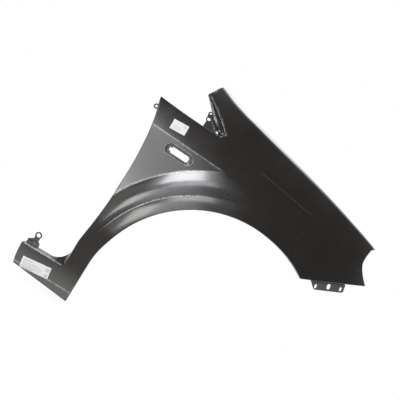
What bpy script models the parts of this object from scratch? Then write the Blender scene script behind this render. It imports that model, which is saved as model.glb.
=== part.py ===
"""Front fender of a small hatchback, right-hand side, as a pressed sheet with its welded brackets.

Run it with: blender --background --python part.py

Metres. +X is forward, +Y is inboard, +Z is up, so the painted side faces -Y. Every size of the panel is
taken from the wheel centre, as body drawings do. The whole part is then moved so that the origin is on
the bolt flange beside the bonnet, where the fender hangs on the car.

The panel is drawn as a flat pattern (u along the car, v up the skin) and laid on the body surface by
body_point(). Below the bonnet roll u and v are simply X and Z. Above it v runs round the roll.
"""

import math

import bmesh
import bpy
from mathutils import Matrix, Vector
from mathutils.geometry import delaunay_2d_cdt

# Sheet and folds
SHEET = 0.0008
FOLD_RADIUS = 0.0022
FOLD_STEPS = 3
MESH_STEP = 0.019
EDGE_STEP = 0.0125
EDGE_BEND = math.radians(13)
SLIVER_AREA = 1e-9
SEAT_GAP = 0.0004

# Wheel arch
ARCH_RADIUS = 0.3475
ARCH_FRONT_ANGLE = math.radians(32.3)
ARCH_OPENING = 0.005
ARCH_FLANGE = 0.013

# Height of the lines along the side
SHOULDER_HEIGHT = 0.4385
SHOULDER_FALL = 0.0175
LEDGE_HEIGHT = -0.0525
LEDGE_FALL = 0.052
SILL_HEIGHT = -0.108
SILL_FALL = 0.060
FOOT_BOTTOM_REAR = -0.1290
FOOT_BOTTOM_FRONT = -0.1405

# Length of the panel, measured fore and aft of the wheel centre
DOOR_EDGE = ((-0.4505, 0.5225), (-0.4235, 0.438), (-0.4085, 0.335), (-0.4045, 0.240), (-0.405, 0.135), (-0.4145, 0.034))
LEDGE_CORNER_X = -0.411
FOOT_REAR = -0.5535
FOOT_REAR_LEAN = 0.0095
BELT_SAG = 0.0035
NOTCH = (-0.2160, 0.5180)
SCUTTLE_BOW = 0.0058
HORN_TIP = (-0.3400, 0.6115)
HORN_CORNER_X = -0.311
HORN_BOW = -0.002
BUMPER_CORNER = (0.3850, 0.3877)
HEADLAMP_TIP_X = 0.3490
HEADLAMP_DEPTH = 0.0310
HEADLAMP_POWER = 1.6

# Body surface
BODY_INSET = 0.015
CROWN_HEIGHT = 0.250
CROWN_RADIUS = 2.6
PLAN_RADIUS = 8.0
NOSE_START = -0.060
NOSE_LENGTH = 0.420
NOSE_WRAP = 0.105
SHOULDER_TILT = 0.20
NOSE_TILT = 0.38
SHOULDER_RADIUS = 0.50
CREASE_END = -0.185
CREASE_FADE = 0.26
CREASE_SOFT = 0.075
SILL_TILT = 0.30
BELT_CREASE_TILT = 0.07
BELT_CREASE_END = -0.170
NOSE_CREASE_TILT = 0.05
NOSE_CREASE = ((-0.090, 0.4972), (0.131, 0.4706))

# Wheel flare, two steps round the arch
FLARE_WIDTH = 0.1165
FLARE_RADIUS = ARCH_RADIUS + FLARE_WIDTH
FLARE_TAPER = 0.017
FLARE_END_ANGLE = math.radians(-20)
FLARE_SOFT_ANGLE = math.radians(23)
FLARE_SHARP = 0.0015
FLARE_SOFT = 0.060
FLARE_HEIGHT = 0.012
FLARE_RISE = 0.8
FLARE_MOST_RISE = 1.3
LIP_WIDTH = 0.0415
LIP_RADIUS = ARCH_RADIUS + LIP_WIDTH
LIP_SOFT = 0.5
LIP_HEIGHT = 0.0045
LIP_MOST_RISE = 1.2
LIP_REAR_ANGLE = math.radians(-74)
LIP_FRONT_ANGLE = math.radians(-10)
FLARE_FADE_START = math.radians(-93)
FLARE_FADE_END = math.radians(-72)
FLARE_FRONT_SHARE = 0.45
FLARE_FRONT_START = math.radians(-26)
FLARE_FRONT_END = math.radians(34)

# Bonnet edge: roll, land, gutter wall and bolt flange
BONNET_EDGE = ((-0.311, 0.6640), (-0.262, 0.6450), (-0.176, 0.6225), (-0.058, 0.5955),
               (0.059, 0.5705), (0.177, 0.5440), (0.270, 0.5215), (0.345, 0.5020))
ROLL_RADIUS_REAR = 0.046
ROLL_RADIUS_FRONT = 0.016
ROLL_END_ANGLE = math.radians(80)
LAND = 0.004
ROLL_STEPS = 4
GUTTER_DRAFT = math.radians(172)
GUTTER_RADIUS = 0.003
GUTTER_DEPTH = 0.020
GUTTER_END_LEAN = 0.85
GUTTER_LEAN_START = 0.255
BOLT_FLANGE = 0.024
BOLT_HOLE = 0.009
BOLT_SLOT = 0.006
BOLT_PLACES = (-0.250, -0.090, 0.080, 0.240)

# Folded edges, each the free width past its fold
HEADLAMP_FLANGE = 0.009
BUMPER_FLANGE = 0.016
SILL_FLANGE = 0.020
FOOT_FLANGE = 0.008
LEDGE_FLANGE = 0.026
LEDGE_RISE = math.radians(86)
LEDGE_CORNER_RADIUS = 0.057
LEDGE_CORNER_DIP = math.radians(38)
LEDGE_FACE_RADIUS = 0.010
DOOR_FLANGE = 0.012
DOOR_RISE = math.radians(92)
BELT_FLANGE = 0.011
HORN_FLANGE = 0.007
CHANNEL_WALL = 0.0115
CHANNEL_TILT = math.radians(57)
CHANNEL_SHELF = 0.0042
CHANNEL_SHELF_TILT = math.radians(12)
CHANNEL_LIP = 0.005
CHANNEL_LIP_TILT = math.radians(85)
CHANNEL_START = 1.6
CHANNEL_START_SHARE = 0.25
CHANNEL_NOTCH_SHARE = 0.42
CHANNEL_NOTCH_LENGTH = 0.024
CHANNEL_FULL_LENGTH = 0.055
CHANNEL_END_SHARE = 0.14
CHANNEL_END_LENGTH = 0.080
NOTCH_RADIUS = 0.010
CORNER_RELIEF = 0.012

# Side lamp pocket
POCKET_PLACE = (-0.3085, 0.4055)
POCKET_LENGTH = 0.090
POCKET_HEIGHT = 0.032
POCKET_DEPTH = 0.0022
POCKET_WALL = 0.0028
POCKET_STEP = 0.006
LAMP_HOLE_LENGTH = 0.065
LAMP_HOLE_HEIGHT = 0.0185
LAMP_HOLE_CHAMFER = 0.0045
LAMP_HOLE_KEY = 0.006

# Small holes in the flanges
CLIP_HOLE = 0.0065
CLIP_ANGLES = (-78, -38, -4, 22)
SILL_HOLE = 0.008
SILL_HOLE_PLACES = (-0.500, -0.400)

# Welded brackets: plate, bend, and the reach of the welded base under its flange
BRACKET_SHEET = 0.0012
BRACKET_BEND = 0.0022
BASE_LAP = 0.009
EDGE_CLEARANCE = 0.0015

SILL_EAR_X = -0.5275
SILL_EAR_WIDTH = 0.040
SILL_EAR_HEIGHT = 0.0315
SILL_EAR_SHIFT = 0.0040
SILL_EAR_RING = 0.0108
SILL_EAR_HOLE = 0.0062

DOOR_EAR_Z = 0.493
DOOR_EAR_WIDTH = 0.024
DOOR_EAR_REACH = 0.006
DOOR_EAR_RING = 0.0088
DOOR_EAR_HOLE = 0.0040

SCUTTLE_PLATE_X = -0.275
SCUTTLE_PLATE_REACH = 0.0085
SCUTTLE_PLATE_RISE = math.radians(58)
SCUTTLE_PLATE_REAR = -0.299
SCUTTLE_PLATE_FRONT = -0.2480
SCUTTLE_TOP_HOLE = (-0.3005, 0.5639, 0.0036)
SCUTTLE_MAIN_HOLE = (-0.2956, 0.5454, 0.0057)
SCUTTLE_LOW_HOLE = (-0.2532, 0.5247, 0.0037)
SCUTTLE_RING = 0.0095
SCUTTLE_LOW_RING = 0.0080
SCUTTLE_TOP_RADIUS = 0.0075

BUMPER_PLATE_X = 0.2665
BUMPER_PLATE_TOP = 0.122
BUMPER_PLATE_FOOT = 0.104
BUMPER_PLATE_HEIGHT = 0.0265
BUMPER_PLATE_SHIFT = -0.0042
BUMPER_PLATE_CORNER = 0.004
BUMPER_SLOTS = ((-0.0461, 0.0160, 0.0080, 0.0125), (-0.0030, 0.0128, 0.0125, 0.0170),
                (0.0422, 0.0160, 0.0080, 0.0125))
BUMPER_SLOT_LEAN = math.radians(12)

# Paper labels: place of the middle, width, height, turn
LABEL_PAPER = 0.0002
LABEL_GAP = 0.0003
SILL_LABEL = (-0.4785, -0.1030, 0.0925, 0.0350, math.radians(9.5))
WING_LABEL = (-0.3515, 0.4727, 0.0495, 0.0310, math.radians(4.5))

# Where the origin sits along the bolt flange, halfway between two bolts
ORIGIN_X = -0.005


def smoothstep(low, high, value):
    t = min(1.0, max(0.0, (value - low) / (high - low)))
    return t * t * (3 - 2 * t)


def ramp(value, width):
    """0 well below zero and the value itself well above, rounded over the width."""
    return 0.5 * (value + math.sqrt(value * value + width * width))


def lerp(a, b, t):
    return a + (b - a) * t


def shoulder_line(x):
    return SHOULDER_HEIGHT - SHOULDER_FALL * (x - DOOR_EDGE[1][0])


def ledge_line(x):
    return LEDGE_HEIGHT + LEDGE_FALL * (x - LEDGE_CORNER_X)


def sill_line(x):
    return SILL_HEIGHT + SILL_FALL * (x + ARCH_RADIUS)


def fade_along(x):
    """0 where the shoulder crease is sharp, 1 where it has melted into the wing."""
    return smoothstep(CREASE_END - 0.02, CREASE_END + CREASE_FADE, x)


def flare_bulge(x, z):
    """How far the two steps of the wheel flare stand out of the body side."""
    radius = math.hypot(x, z)
    angle = math.atan2(x, z)
    soft = lerp(FLARE_SHARP, FLARE_SOFT, smoothstep(FLARE_END_ANGLE, FLARE_SOFT_ANGLE, angle))
    crease = FLARE_RADIUS - FLARE_TAPER * max(0.0, FLARE_END_ANGLE - angle)
    past_lip = ramp(LIP_RADIUS - radius, soft * LIP_SOFT)
    run = ramp(crease - radius, soft) - past_lip
    rise = min(run / (FLARE_RISE * (crease - LIP_RADIUS)), FLARE_MOST_RISE)
    lip = min(past_lip / LIP_WIDTH, LIP_MOST_RISE)
    bulge = FLARE_HEIGHT * (1 - (1 - rise) ** 2) + LIP_HEIGHT * (1 - (1 - lip) ** 2)
    front = (1 - FLARE_FRONT_SHARE) * smoothstep(FLARE_FRONT_START, FLARE_FRONT_END, angle)
    return bulge * smoothstep(FLARE_FADE_START, FLARE_FADE_END, angle) * (1 - front)


def pocket_distance(x, z):
    """Distance outside the rim of the side lamp pocket, negative inside it."""
    half = (POCKET_LENGTH - POCKET_HEIGHT) / 2
    along = max(abs(x - POCKET_PLACE[0]) - half, 0.0)
    return math.hypot(along, z - POCKET_PLACE[1]) - POCKET_HEIGHT / 2


def pocket_sink(x, z):
    inside = -pocket_distance(x, z)
    if inside <= 0:
        return 0.0
    first = min(inside / POCKET_WALL, 1.0)
    second = min(max(inside - POCKET_STEP, 0.0) / (POCKET_WALL / 2), 1.0)
    return POCKET_DEPTH * (0.72 * first + 0.28 * second)


def skin_depth(x, z):
    """Y of the outer surface: the body side, its shoulder, the nose wrap, the flare and the pocket."""
    y = BODY_INSET + (z - CROWN_HEIGHT) ** 2 / (2 * CROWN_RADIUS)
    behind = min(0.0, x - NOSE_START)
    y += behind * behind / (2 * PLAN_RADIUS)
    ahead = max(0.0, x - NOSE_START) / NOSE_LENGTH
    y += NOSE_WRAP * ahead ** 2.2
    above = z - shoulder_line(x)
    tilt = lerp(SHOULDER_TILT, NOSE_TILT, smoothstep(-0.30, 0.15, x))
    y += tilt * ramp(above, lerp(0.002, CREASE_SOFT, fade_along(x)))
    y += max(0.0, above) ** 2 / (2 * SHOULDER_RADIUS)
    y += SILL_TILT * ramp(sill_line(x) - z, 0.001)
    y += upper_creases(x, z)
    return y - flare_bulge(x, z) + pocket_sink(x, z)


def upper_creases(x, z):
    """The two faint lines above the shoulder: the belt line run on, and the line to the headlamp."""
    belt = BELT_CREASE_TILT * ramp(z - NOTCH[1] + 0.005, 0.002)
    belt *= 1 - smoothstep(NOTCH[0], BELT_CREASE_END, x)
    (rear, rear_z), (front, front_z) = NOSE_CREASE
    line_z = lerp(rear_z, front_z, (x - rear) / (front - rear))
    share = smoothstep(rear - 0.03, rear + 0.04, x) * (1 - smoothstep(front - 0.04, front + 0.02, x))
    return belt + share * NOSE_CREASE_TILT * (ramp(z - line_z, 0.004) - ramp(z - line_z, 0.060))


def through(points, x):
    """Height at x of the smooth line through a few points that go forward."""
    for k in range(len(points) - 1):
        if x <= points[k + 1][0] or k == len(points) - 2:
            break
    (x1, z1), (x2, z2) = points[k], points[k + 1]
    x0, z0 = points[k - 1] if k > 0 else (2 * x1 - x2, 2 * z1 - z2)
    x3, z3 = points[k + 2] if k + 2 < len(points) else (2 * x2 - x1, 2 * z2 - z1)
    span = x2 - x1
    t = (x - x1) / span
    m1 = (z2 - z0) / (x2 - x0) * span
    m2 = (z3 - z1) / (x3 - x1) * span
    return ((2 * t**3 - 3 * t**2 + 1) * z1 + (t**3 - 2 * t**2 + t) * m1
            + (3 * t**2 - 2 * t**3) * z2 + (t**3 - t**2) * m2)


def roll_radius(x):
    return lerp(ROLL_RADIUS_REAR, ROLL_RADIUS_FRONT, smoothstep(HORN_CORNER_X, HEADLAMP_TIP_X, x))


def surface_tilt(x, z):
    """Angle from upright of the section through the skin at x, leaning inboard."""
    step = 0.002
    return math.atan2(skin_depth(x, z) - skin_depth(x, z - step), step)


def roll_start(x):
    """Height where the roll to the bonnet edge starts: its top then reaches the drawn edge."""
    radius = roll_radius(x)
    top = through(BONNET_EDGE, x) - LAND * math.cos(ROLL_END_ANGLE)
    height = top - radius * 0.5
    for _ in range(3):
        height = top - radius * (math.sin(ROLL_END_ANGLE) - math.sin(surface_tilt(x, height)))
    return height


def roll_length(x):
    start = roll_start(x)
    return roll_radius(x) * (ROLL_END_ANGLE - surface_tilt(x, start))


def roll_lean(x):
    """How much the roll runs forward as it rises, so that its ends follow the horn and the lamp."""
    return 0.30 * smoothstep(-0.20, HORN_CORNER_X, x) + 0.55 * smoothstep(0.22, HEADLAMP_TIP_X, x)


def section_point(x, y, z, angle_from, angle_to, radius):
    """End of an arc in the section at x. The angle is 0 upright, 90 degrees inboard, 180 down."""
    if angle_to >= angle_from:
        y += radius * (math.cos(angle_from) - math.cos(angle_to))
        z += radius * (math.sin(angle_to) - math.sin(angle_from))
    else:
        y += radius * (math.cos(angle_to) - math.cos(angle_from))
        z -= radius * (math.sin(angle_to) - math.sin(angle_from))
    return Vector((x, y, z))


def body_point(u, v):
    """Point of the outer surface over the flat pattern, with the roll to the bonnet above roll_start."""
    if v <= 0.38:
        return Vector((u, skin_depth(u, v), v))
    start = roll_start(u)
    if v <= start:
        return Vector((u, skin_depth(u, v), v))
    radius = roll_radius(u)
    tilt = surface_tilt(u, start)
    turn = min((v - start) / radius, ROLL_END_ANGLE - tilt)
    point = section_point(u, skin_depth(u, start), start, tilt, tilt + turn, radius)
    rest = v - start - turn * radius
    point.y += rest * math.sin(tilt + turn)
    point.z += rest * math.cos(tilt + turn)
    point.x += roll_lean(u) * (point.z - start)
    return point


def body_normal(u, v):
    """Unit normal of the outer surface, pointing out of the car."""
    step = 0.0008
    along = body_point(u + step, v) - body_point(u - step, v)
    up = body_point(u, v) - body_point(u, v - step)
    return along.cross(up).normalized()


# The outline of the pattern, clockwise as seen from outside the car

def line(a, b):
    return [Vector(a), Vector(b)]


def smooth_curve(points, per_span=12):
    """A Catmull-Rom curve through a few points."""
    points = [Vector(p) for p in points]
    points = [2 * points[0] - points[1]] + points + [2 * points[-1] - points[-2]]
    curve = []
    for p0, p1, p2, p3 in zip(points, points[1:], points[2:], points[3:]):
        for k in range(per_span):
            t = k / per_span
            curve.append(0.5 * (2 * p1 + (p2 - p0) * t + (2 * p0 - 5 * p1 + 4 * p2 - p3) * t * t
                                + (3 * p1 - p0 - 3 * p2 + p3) * t**3))
    return curve + [points[-2]]


def bowed(a, b, bow, power=2.0, steps=24):
    """A curve from a to b that bulges by bow to the left of its travel. A low power points its middle."""
    a, b = Vector(a), Vector(b)
    side = Vector((a.y - b.y, b.x - a.x)).normalized()
    shares = [k / steps for k in range(steps + 1)]
    return [a.lerp(b, t) + side * (bow * (1 - abs(2 * t - 1) ** power)) for t in shares]


def rounded(corner, before, after, radius, steps=8):
    """The arc that rounds a corner between the directions to before and after."""
    corner = Vector(corner)
    one = (Vector(before) - corner).normalized()
    two = (Vector(after) - corner).normalized()
    half = one.angle(two) / 2
    reach = radius / math.tan(half)
    centre = corner + (one + two).normalized() * (radius / math.sin(half))
    start, end = corner + one * reach, corner + two * reach
    arc = []
    for k in range(steps + 1):
        point = start.lerp(end, k / steps)
        arc.append(centre + (point - centre).normalized() * radius)
    return arc


def resampled(points, step, bend=math.inf):
    """The same line with points about step apart, closer where it turns by more than bend, and its ends kept."""
    turns = [0.0] * len(points)
    for k in range(1, len(points) - 1):
        turns[k] = (points[k] - points[k - 1]).angle(points[k + 1] - points[k], 0.0) / bend
    reached = [0.0]
    for k in range(len(points) - 1):
        spans = (points[k + 1] - points[k]).length / step + (turns[k] + turns[k + 1]) / 2
        reached.append(reached[-1] + spans)
    count = max(1, round(reached[-1]))
    out, k = [], 0
    for i in range(count + 1):
        goal = reached[-1] * i / count
        while k < len(points) - 2 and reached[k + 1] < goal:
            k += 1
        share = (goal - reached[k]) / max(reached[k + 1] - reached[k], 1e-9)
        out.append(points[k].lerp(points[k + 1], min(1.0, share)))
    return out


def bonnet_top(u):
    return roll_start(u) + roll_length(u) + LAND


def bonnet_line():
    count = round((HEADLAMP_TIP_X - HORN_CORNER_X) / (EDGE_STEP * 1.4))
    places = [lerp(HORN_CORNER_X, HEADLAMP_TIP_X, k / count) for k in range(count + 1)]
    return [Vector((u, bonnet_top(u))) for u in places]


def arch_radius(angle):
    """The arch opens a little from a true circle at its front end and above the sill."""
    ends = smoothstep(math.radians(5), ARCH_FRONT_ANGLE, angle) + smoothstep(-1.25, -math.pi / 2, angle)
    return ARCH_RADIUS + ARCH_OPENING * ends


def arch_line():
    """The arc round the wheel from the front corner, then straight down to the sill."""
    count = 40
    angles = [lerp(ARCH_FRONT_ANGLE, -math.pi / 2, k / count) for k in range(count + 1)]
    arc = [Vector((math.sin(a), math.cos(a))) * arch_radius(a) for a in angles]
    return arc + [Vector((arc[-1].x + 0.003, FOOT_BOTTOM_FRONT))]


def belt_and_scuttle(belt_corner):
    """The belt line, the rounded notch and the edge beside the windscreen up to the horn."""
    belt = bowed(belt_corner, NOTCH, -BELT_SAG)
    scuttle = bowed(NOTCH, HORN_TIP, -SCUTTLE_BOW)
    notch = rounded(NOTCH, belt[-3], scuttle[2], NOTCH_RADIUS)
    reach = (notch[0] - Vector(NOTCH)).length + 0.003
    belt = [p for p in belt if (p - Vector(NOTCH)).length > reach]
    scuttle = [p for p in scuttle if (p - Vector(NOTCH)).length > reach]
    return belt + notch + scuttle


def outline_sections():
    """Each edge of the panel with its drawn line, in the order of travel."""
    arch = arch_line()
    foot_front, foot_rear = arch[-1], Vector((FOOT_REAR + FOOT_REAR_LEAN, FOOT_BOTTOM_REAR))
    foot_top = Vector((FOOT_REAR, ledge_line(FOOT_REAR)))
    corner = Vector((LEDGE_CORNER_X, LEDGE_HEIGHT))
    door = smooth_curve(DOOR_EDGE)[::-1]
    ledge = [foot_top] + rounded(corner, foot_top, door[0], LEDGE_FACE_RADIUS)
    head_top = Vector((HEADLAMP_TIP_X, bonnet_top(HEADLAMP_TIP_X)))
    horn_corner = Vector((HORN_CORNER_X, bonnet_top(HORN_CORNER_X)))
    return {
        "bonnet": bonnet_line(),
        "headlamp": bowed(head_top, BUMPER_CORNER, -HEADLAMP_DEPTH, HEADLAMP_POWER),
        "bumper": line(BUMPER_CORNER, arch[0]),
        "arch": arch,
        "sill": line(foot_front, foot_rear),
        "foot": bowed(foot_rear, foot_top, 0.002),
        "door": ledge + door,
        "belt": belt_and_scuttle(door[-1]),
        "horn": bowed(HORN_TIP, horn_corner, HORN_BOW),
    }


def inset_outline(sections, distances):
    """Each section moved inside by its own distance, with the corners where the moved lines meet."""
    names = list(sections)
    loop, owner = [], []
    for name in names:
        for point in sections[name][:-1]:
            loop.append(point)
            owner.append(name)
    moved = []
    for k, point in enumerate(loop):
        before = (point - loop[k - 1]).normalized()
        after = (loop[(k + 1) % len(loop)] - point).normalized()
        in_before, in_after = Vector((before.y, -before.x)), Vector((after.y, -after.x))
        d_before, d_after = distances[owner[k - 1]], distances[owner[k]]
        turn = before.x * after.y - before.y * after.x
        if abs(turn) < 0.25:
            moved.append(point + (in_before + in_after).normalized() * (d_before + d_after) / 2)
            continue
        shift = (before * d_after - after * d_before) / turn
        moved.append(point + shift)
    result, k = {}, 0
    for name in names:
        count = len(sections[name]) - 1
        result[name] = [moved[(k + i) % len(moved)] for i in range(count + 1)]
        k += count
    return result


# Fold profiles: rows of (outward, inward) distances from the start of the fold

def fold_rows(legs, steps=FOLD_STEPS):
    """Rows for a chain of (turn from the face, radius, straight leg), each turn given as a total angle."""
    out, down, angle, rows = 0.0, 0.0, 0.0, []
    for target, radius, leg in legs:
        sign = 1 if target >= angle else -1
        for k in range(1, steps + 1):
            now = lerp(angle, target, k / steps)
            last = lerp(angle, target, (k - 1) / steps)
            out += sign * radius * (math.sin(now) - math.sin(last))
            down += sign * radius * (math.cos(last) - math.cos(now))
            rows.append((out, down))
        angle = target
        out += leg * math.cos(angle)
        down += leg * math.sin(angle)
        rows.append((out, down))
    return rows


def end_taper(along, length, full, small=0.002):
    """Width of a flange that narrows to a small relief at each end."""
    return lerp(small, full, smoothstep(0, CORNER_RELIEF, min(along, length - along)))


def channel_rows(share):
    """The stepped gutter beside the windscreen: wall, shelf and a turned-down lip."""
    tight = FOLD_RADIUS * 0.8 * min(1.0, share + 0.15)
    return fold_rows([
        (CHANNEL_TILT, FOLD_RADIUS, CHANNEL_WALL * share),
        (CHANNEL_SHELF_TILT, tight, CHANNEL_SHELF * share),
        (CHANNEL_LIP_TILT, tight, CHANNEL_LIP * share),
    ])


def channel_share(past):
    """Size of the gutter past its start: small round the notch, where it turns sharply, then full."""
    small = lerp(CHANNEL_START_SHARE, CHANNEL_NOTCH_SHARE, smoothstep(0, NOTCH_RADIUS, past))
    return lerp(small, 1.0, smoothstep(CHANNEL_NOTCH_LENGTH, CHANNEL_FULL_LENGTH, past))


def belt_rows(along, length, notch_at):
    """A plain flange along the belt line, which turns into the gutter round the notch."""
    if along < notch_at:
        leg = lerp(0.0015, end_taper(along, 9.0, BELT_FLANGE), smoothstep(0, CHANNEL_NOTCH_LENGTH, notch_at - along))
        return fold_rows([(math.radians(88), FOLD_RADIUS, leg)])
    left = min(1.0, (length - along) / CHANNEL_END_LENGTH)
    return channel_rows(channel_share(along - notch_at) * lerp(CHANNEL_END_SHARE, 1.0, left))


def frames_along(points):
    """Base point, outward direction and face normal at each point of one edge."""
    placed = [body_point(p.x, p.y) for p in points]
    frames = []
    for k, point in enumerate(placed):
        tangent = (placed[min(k + 1, len(placed) - 1)] - placed[max(k - 1, 0)]).normalized()
        normal = body_normal(points[k].x, points[k].y)
        frames.append((point, normal.cross(tangent).normalized(), normal))
    return frames


def arc_lengths(points):
    total = [0.0]
    for a, b in zip(points, points[1:]):
        total.append(total[-1] + (b - a).length)
    return total


def bolt_plane():
    """A point on the bolt flange, the direction along it and its upward normal."""
    rear, front = HORN_CORNER_X, HEADLAMP_TIP_X
    drop = GUTTER_DEPTH + 0.003
    low = Vector((rear, 0.0, through(BONNET_EDGE, rear) - drop))
    high = Vector((front, 0.0, through(BONNET_EDGE, front) - drop))
    along = (high - low).normalized()
    return low, along, Vector((-along.z, 0.0, along.x))


def bolt_height(x):
    low, along, _ = bolt_plane()
    return low.z + (x - low.x) * along.z / along.x


def bonnet_columns(points):
    """The land folds down into the gutter wall, and the wall out into the flat bolt flange.

    Near the headlamp the wall leans back, so that the flange stays behind the cut-out.
    """
    columns = []
    _, along, _ = bolt_plane()
    for p in points:
        base = body_point(p.x, p.y)
        lean = GUTTER_END_LEAN * smoothstep(GUTTER_LEAN_START, HEADLAMP_TIP_X, p.x)
        column = []
        for k in range(1, FOLD_STEPS + 1):
            target = lerp(ROLL_END_ANGLE, GUTTER_DRAFT, k / FOLD_STEPS)
            column.append(section_point(base.x, base.y, base.z, ROLL_END_ANGLE, target, FOLD_RADIUS))
        bend_drop = GUTTER_RADIUS * (1 - math.sin(GUTTER_DRAFT))
        last = column[-1]
        wall = (last.z - bolt_height(base.x) - bend_drop) / -math.cos(GUTTER_DRAFT)
        foot = last + Vector((0, math.sin(GUTTER_DRAFT), math.cos(GUTTER_DRAFT))) * wall
        column.append(foot)
        for k in range(1, FOLD_STEPS + 1):
            target = lerp(GUTTER_DRAFT, math.radians(90), k / FOLD_STEPS)
            column.append(section_point(foot.x, foot.y, foot.z, GUTTER_DRAFT, target, GUTTER_RADIUS))
        column.append(column[-1] + Vector((0, BOLT_FLANGE, 0)))
        columns.append([q - along * (lean * max(0.0, base.z - q.z)) for q in column])
    return columns


def flange_columns(name, points):
    """The folded strip of one edge: for each point of the edge, its rows in order."""
    if name == "bonnet":
        return bonnet_columns(points)
    frames = frames_along(points)
    along = arc_lengths([f[0] for f in frames])
    length = along[-1]
    widths = {"headlamp": HEADLAMP_FLANGE, "bumper": BUMPER_FLANGE, "arch": ARCH_FLANGE,
              "sill": SILL_FLANGE, "foot": FOOT_FLANGE, "horn": HORN_FLANGE}
    columns = []
    if name == "belt":
        notch_at = next(s for s, p in zip(along, points) if p.x > NOTCH[0] - CHANNEL_START * NOTCH_RADIUS)
    if name == "door":
        first = next(k for k, p in enumerate(points) if p.x > LEDGE_CORNER_X - LEDGE_CORNER_RADIUS) - 1
        last = next(k for k, p in enumerate(points) if p.y > LEDGE_HEIGHT + LEDGE_CORNER_RADIUS)
    for k, (base, out, normal) in enumerate(frames):
        s = along[k]
        if name == "belt":
            rows = belt_rows(s, length, notch_at)
        elif name == "door":
            share = (s - along[first]) / (along[last] - along[first])
            rows = door_rows(share, s, length)
        else:
            leg = end_taper(s, length, widths[name])
            rows = fold_rows([(math.radians(90), FOLD_RADIUS, leg)])
        column = [base + out * a - normal * b for a, b in rows]
        if name == "door" and first <= k <= last:
            sweep_from = column[-1] if k == first else sweep_from
            column[-1] = swept_corner(share, sweep_from, column[-1])
        columns.append(column)
    return columns


def door_rows(share, along, length):
    """Wide rising ledge on the foot, narrowing round the corner to the plain door flange."""
    if share < 0:
        return fold_rows([(LEDGE_RISE, FOLD_RADIUS, end_taper(along, 9.0, LEDGE_FLANGE, 0.010))])
    if share > 1:
        return fold_rows([(DOOR_RISE, FOLD_RADIUS, end_taper(length - along, 9.0, DOOR_FLANGE))])
    turn = lerp(LEDGE_RISE, DOOR_RISE, share) - LEDGE_CORNER_DIP * math.sin(math.pi * share)
    return fold_rows([(turn, FOLD_RADIUS, lerp(LEDGE_FLANGE, DOOR_FLANGE, share))])


def swept_corner(share, start, plain):
    """Free edge of the flange along the wide arc between the ledge and the door edge."""
    angle = math.radians(90) * share
    x = start.x + LEDGE_CORNER_RADIUS * math.sin(angle)
    z = start.z + LEDGE_CORNER_RADIUS * (1 - math.cos(angle))
    return Vector((x, plain.y, z))


# Mesh helpers

def new_material(name, colour, roughness, metallic):
    material = bpy.data.materials.new(name)
    material.use_nodes = True
    shader = material.node_tree.nodes["Principled BSDF"]
    shader.inputs["Base Color"].default_value = (*colour, 1)
    shader.inputs["Roughness"].default_value = roughness
    shader.inputs["Metallic"].default_value = metallic
    return material


def inside(point, loop):
    hit = False
    for a, b in zip(loop, loop[1:] + loop[:1]):
        if (a.y > point.y) != (b.y > point.y):
            if point.x < (b.x - a.x) * (point.y - a.y) / (b.y - a.y) + a.x:
                hit = not hit
    return hit


def distance_to(point, a, b):
    along = b - a
    t = min(1.0, max(0.0, (point - a).dot(along) / max(along.length_squared, 1e-12)))
    return (point - a - along * t).length


def triangulated(loop, holes, lines, step):
    """Pattern points and triangles inside the loop, outside the holes and along the lines."""
    edges, points = [], []

    def add_line(line_points, closed):
        first = len(points)
        points.extend(line_points)
        edges.extend((first + k, first + k + 1) for k in range(len(line_points) - 1))
        if closed:
            edges.append((first + len(line_points) - 1, first))

    for closed_loop in [loop] + holes:
        add_line(closed_loop, True)
    for open_line in lines:
        add_line(open_line, False)
    left, right = min(p.x for p in loop), max(p.x for p in loop)
    low, high = min(p.y for p in loop), max(p.y for p in loop)
    row_step = step * math.sqrt(3) / 2
    near = step * 0.62
    cells = {}
    for k, (i, j) in enumerate(edges):
        a, b = points[i], points[j]
        pieces = max(1, math.ceil((b - a).length / near))
        for n in range(pieces + 1):
            spot = a.lerp(b, n / pieces)
            cells.setdefault((round(spot.x / step), round(spot.y / step)), set()).add(k)
    fixed = list(points)
    for row in range(int((high - low) / row_step) + 2):
        for column in range(int((right - left) / step) + 2):
            spot = Vector((left + step * (column + 0.5 * (row % 2)), low + row_step * row))
            cell = (round(spot.x / step), round(spot.y / step))
            close = set().union(*(cells.get((cell[0] + i, cell[1] + j), set())
                                  for i in (-1, 0, 1) for j in (-1, 0, 1)))
            if any(distance_to(spot, fixed[edges[k][0]], fixed[edges[k][1]]) < near for k in close):
                continue
            if inside(spot, loop) and not any(inside(spot, hole) for hole in holes):
                points.append(spot)
    places, _, faces, _, _, _ = delaunay_2d_cdt(points, edges, [], 0, 1e-6)
    kept = []
    for face in faces:
        a, b, c = (places[k] for k in face)
        if abs((b - a).cross(c - a)) < SLIVER_AREA:
            continue
        middle = (a + b + c) / 3
        if inside(middle, loop) and not any(inside(middle, hole) for hole in holes):
            kept.append(face)
    return places, kept


def add_object(name, mesh_builder, material, collection, thickness, offset=-1.0):
    """A new object from a bmesh, with the sheet thickness as an applied Solidify."""
    mesh = bpy.data.meshes.new(name)
    mesh_builder.to_mesh(mesh)
    mesh_builder.free()
    obj = bpy.data.objects.new(name, mesh)
    collection.objects.link(obj)
    mesh.materials.append(material)
    if thickness:
        solid = obj.modifiers.new("sheet", "SOLIDIFY")
        solid.thickness = thickness
        solid.offset = offset
        solid.use_even_offset = True
    return obj


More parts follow.
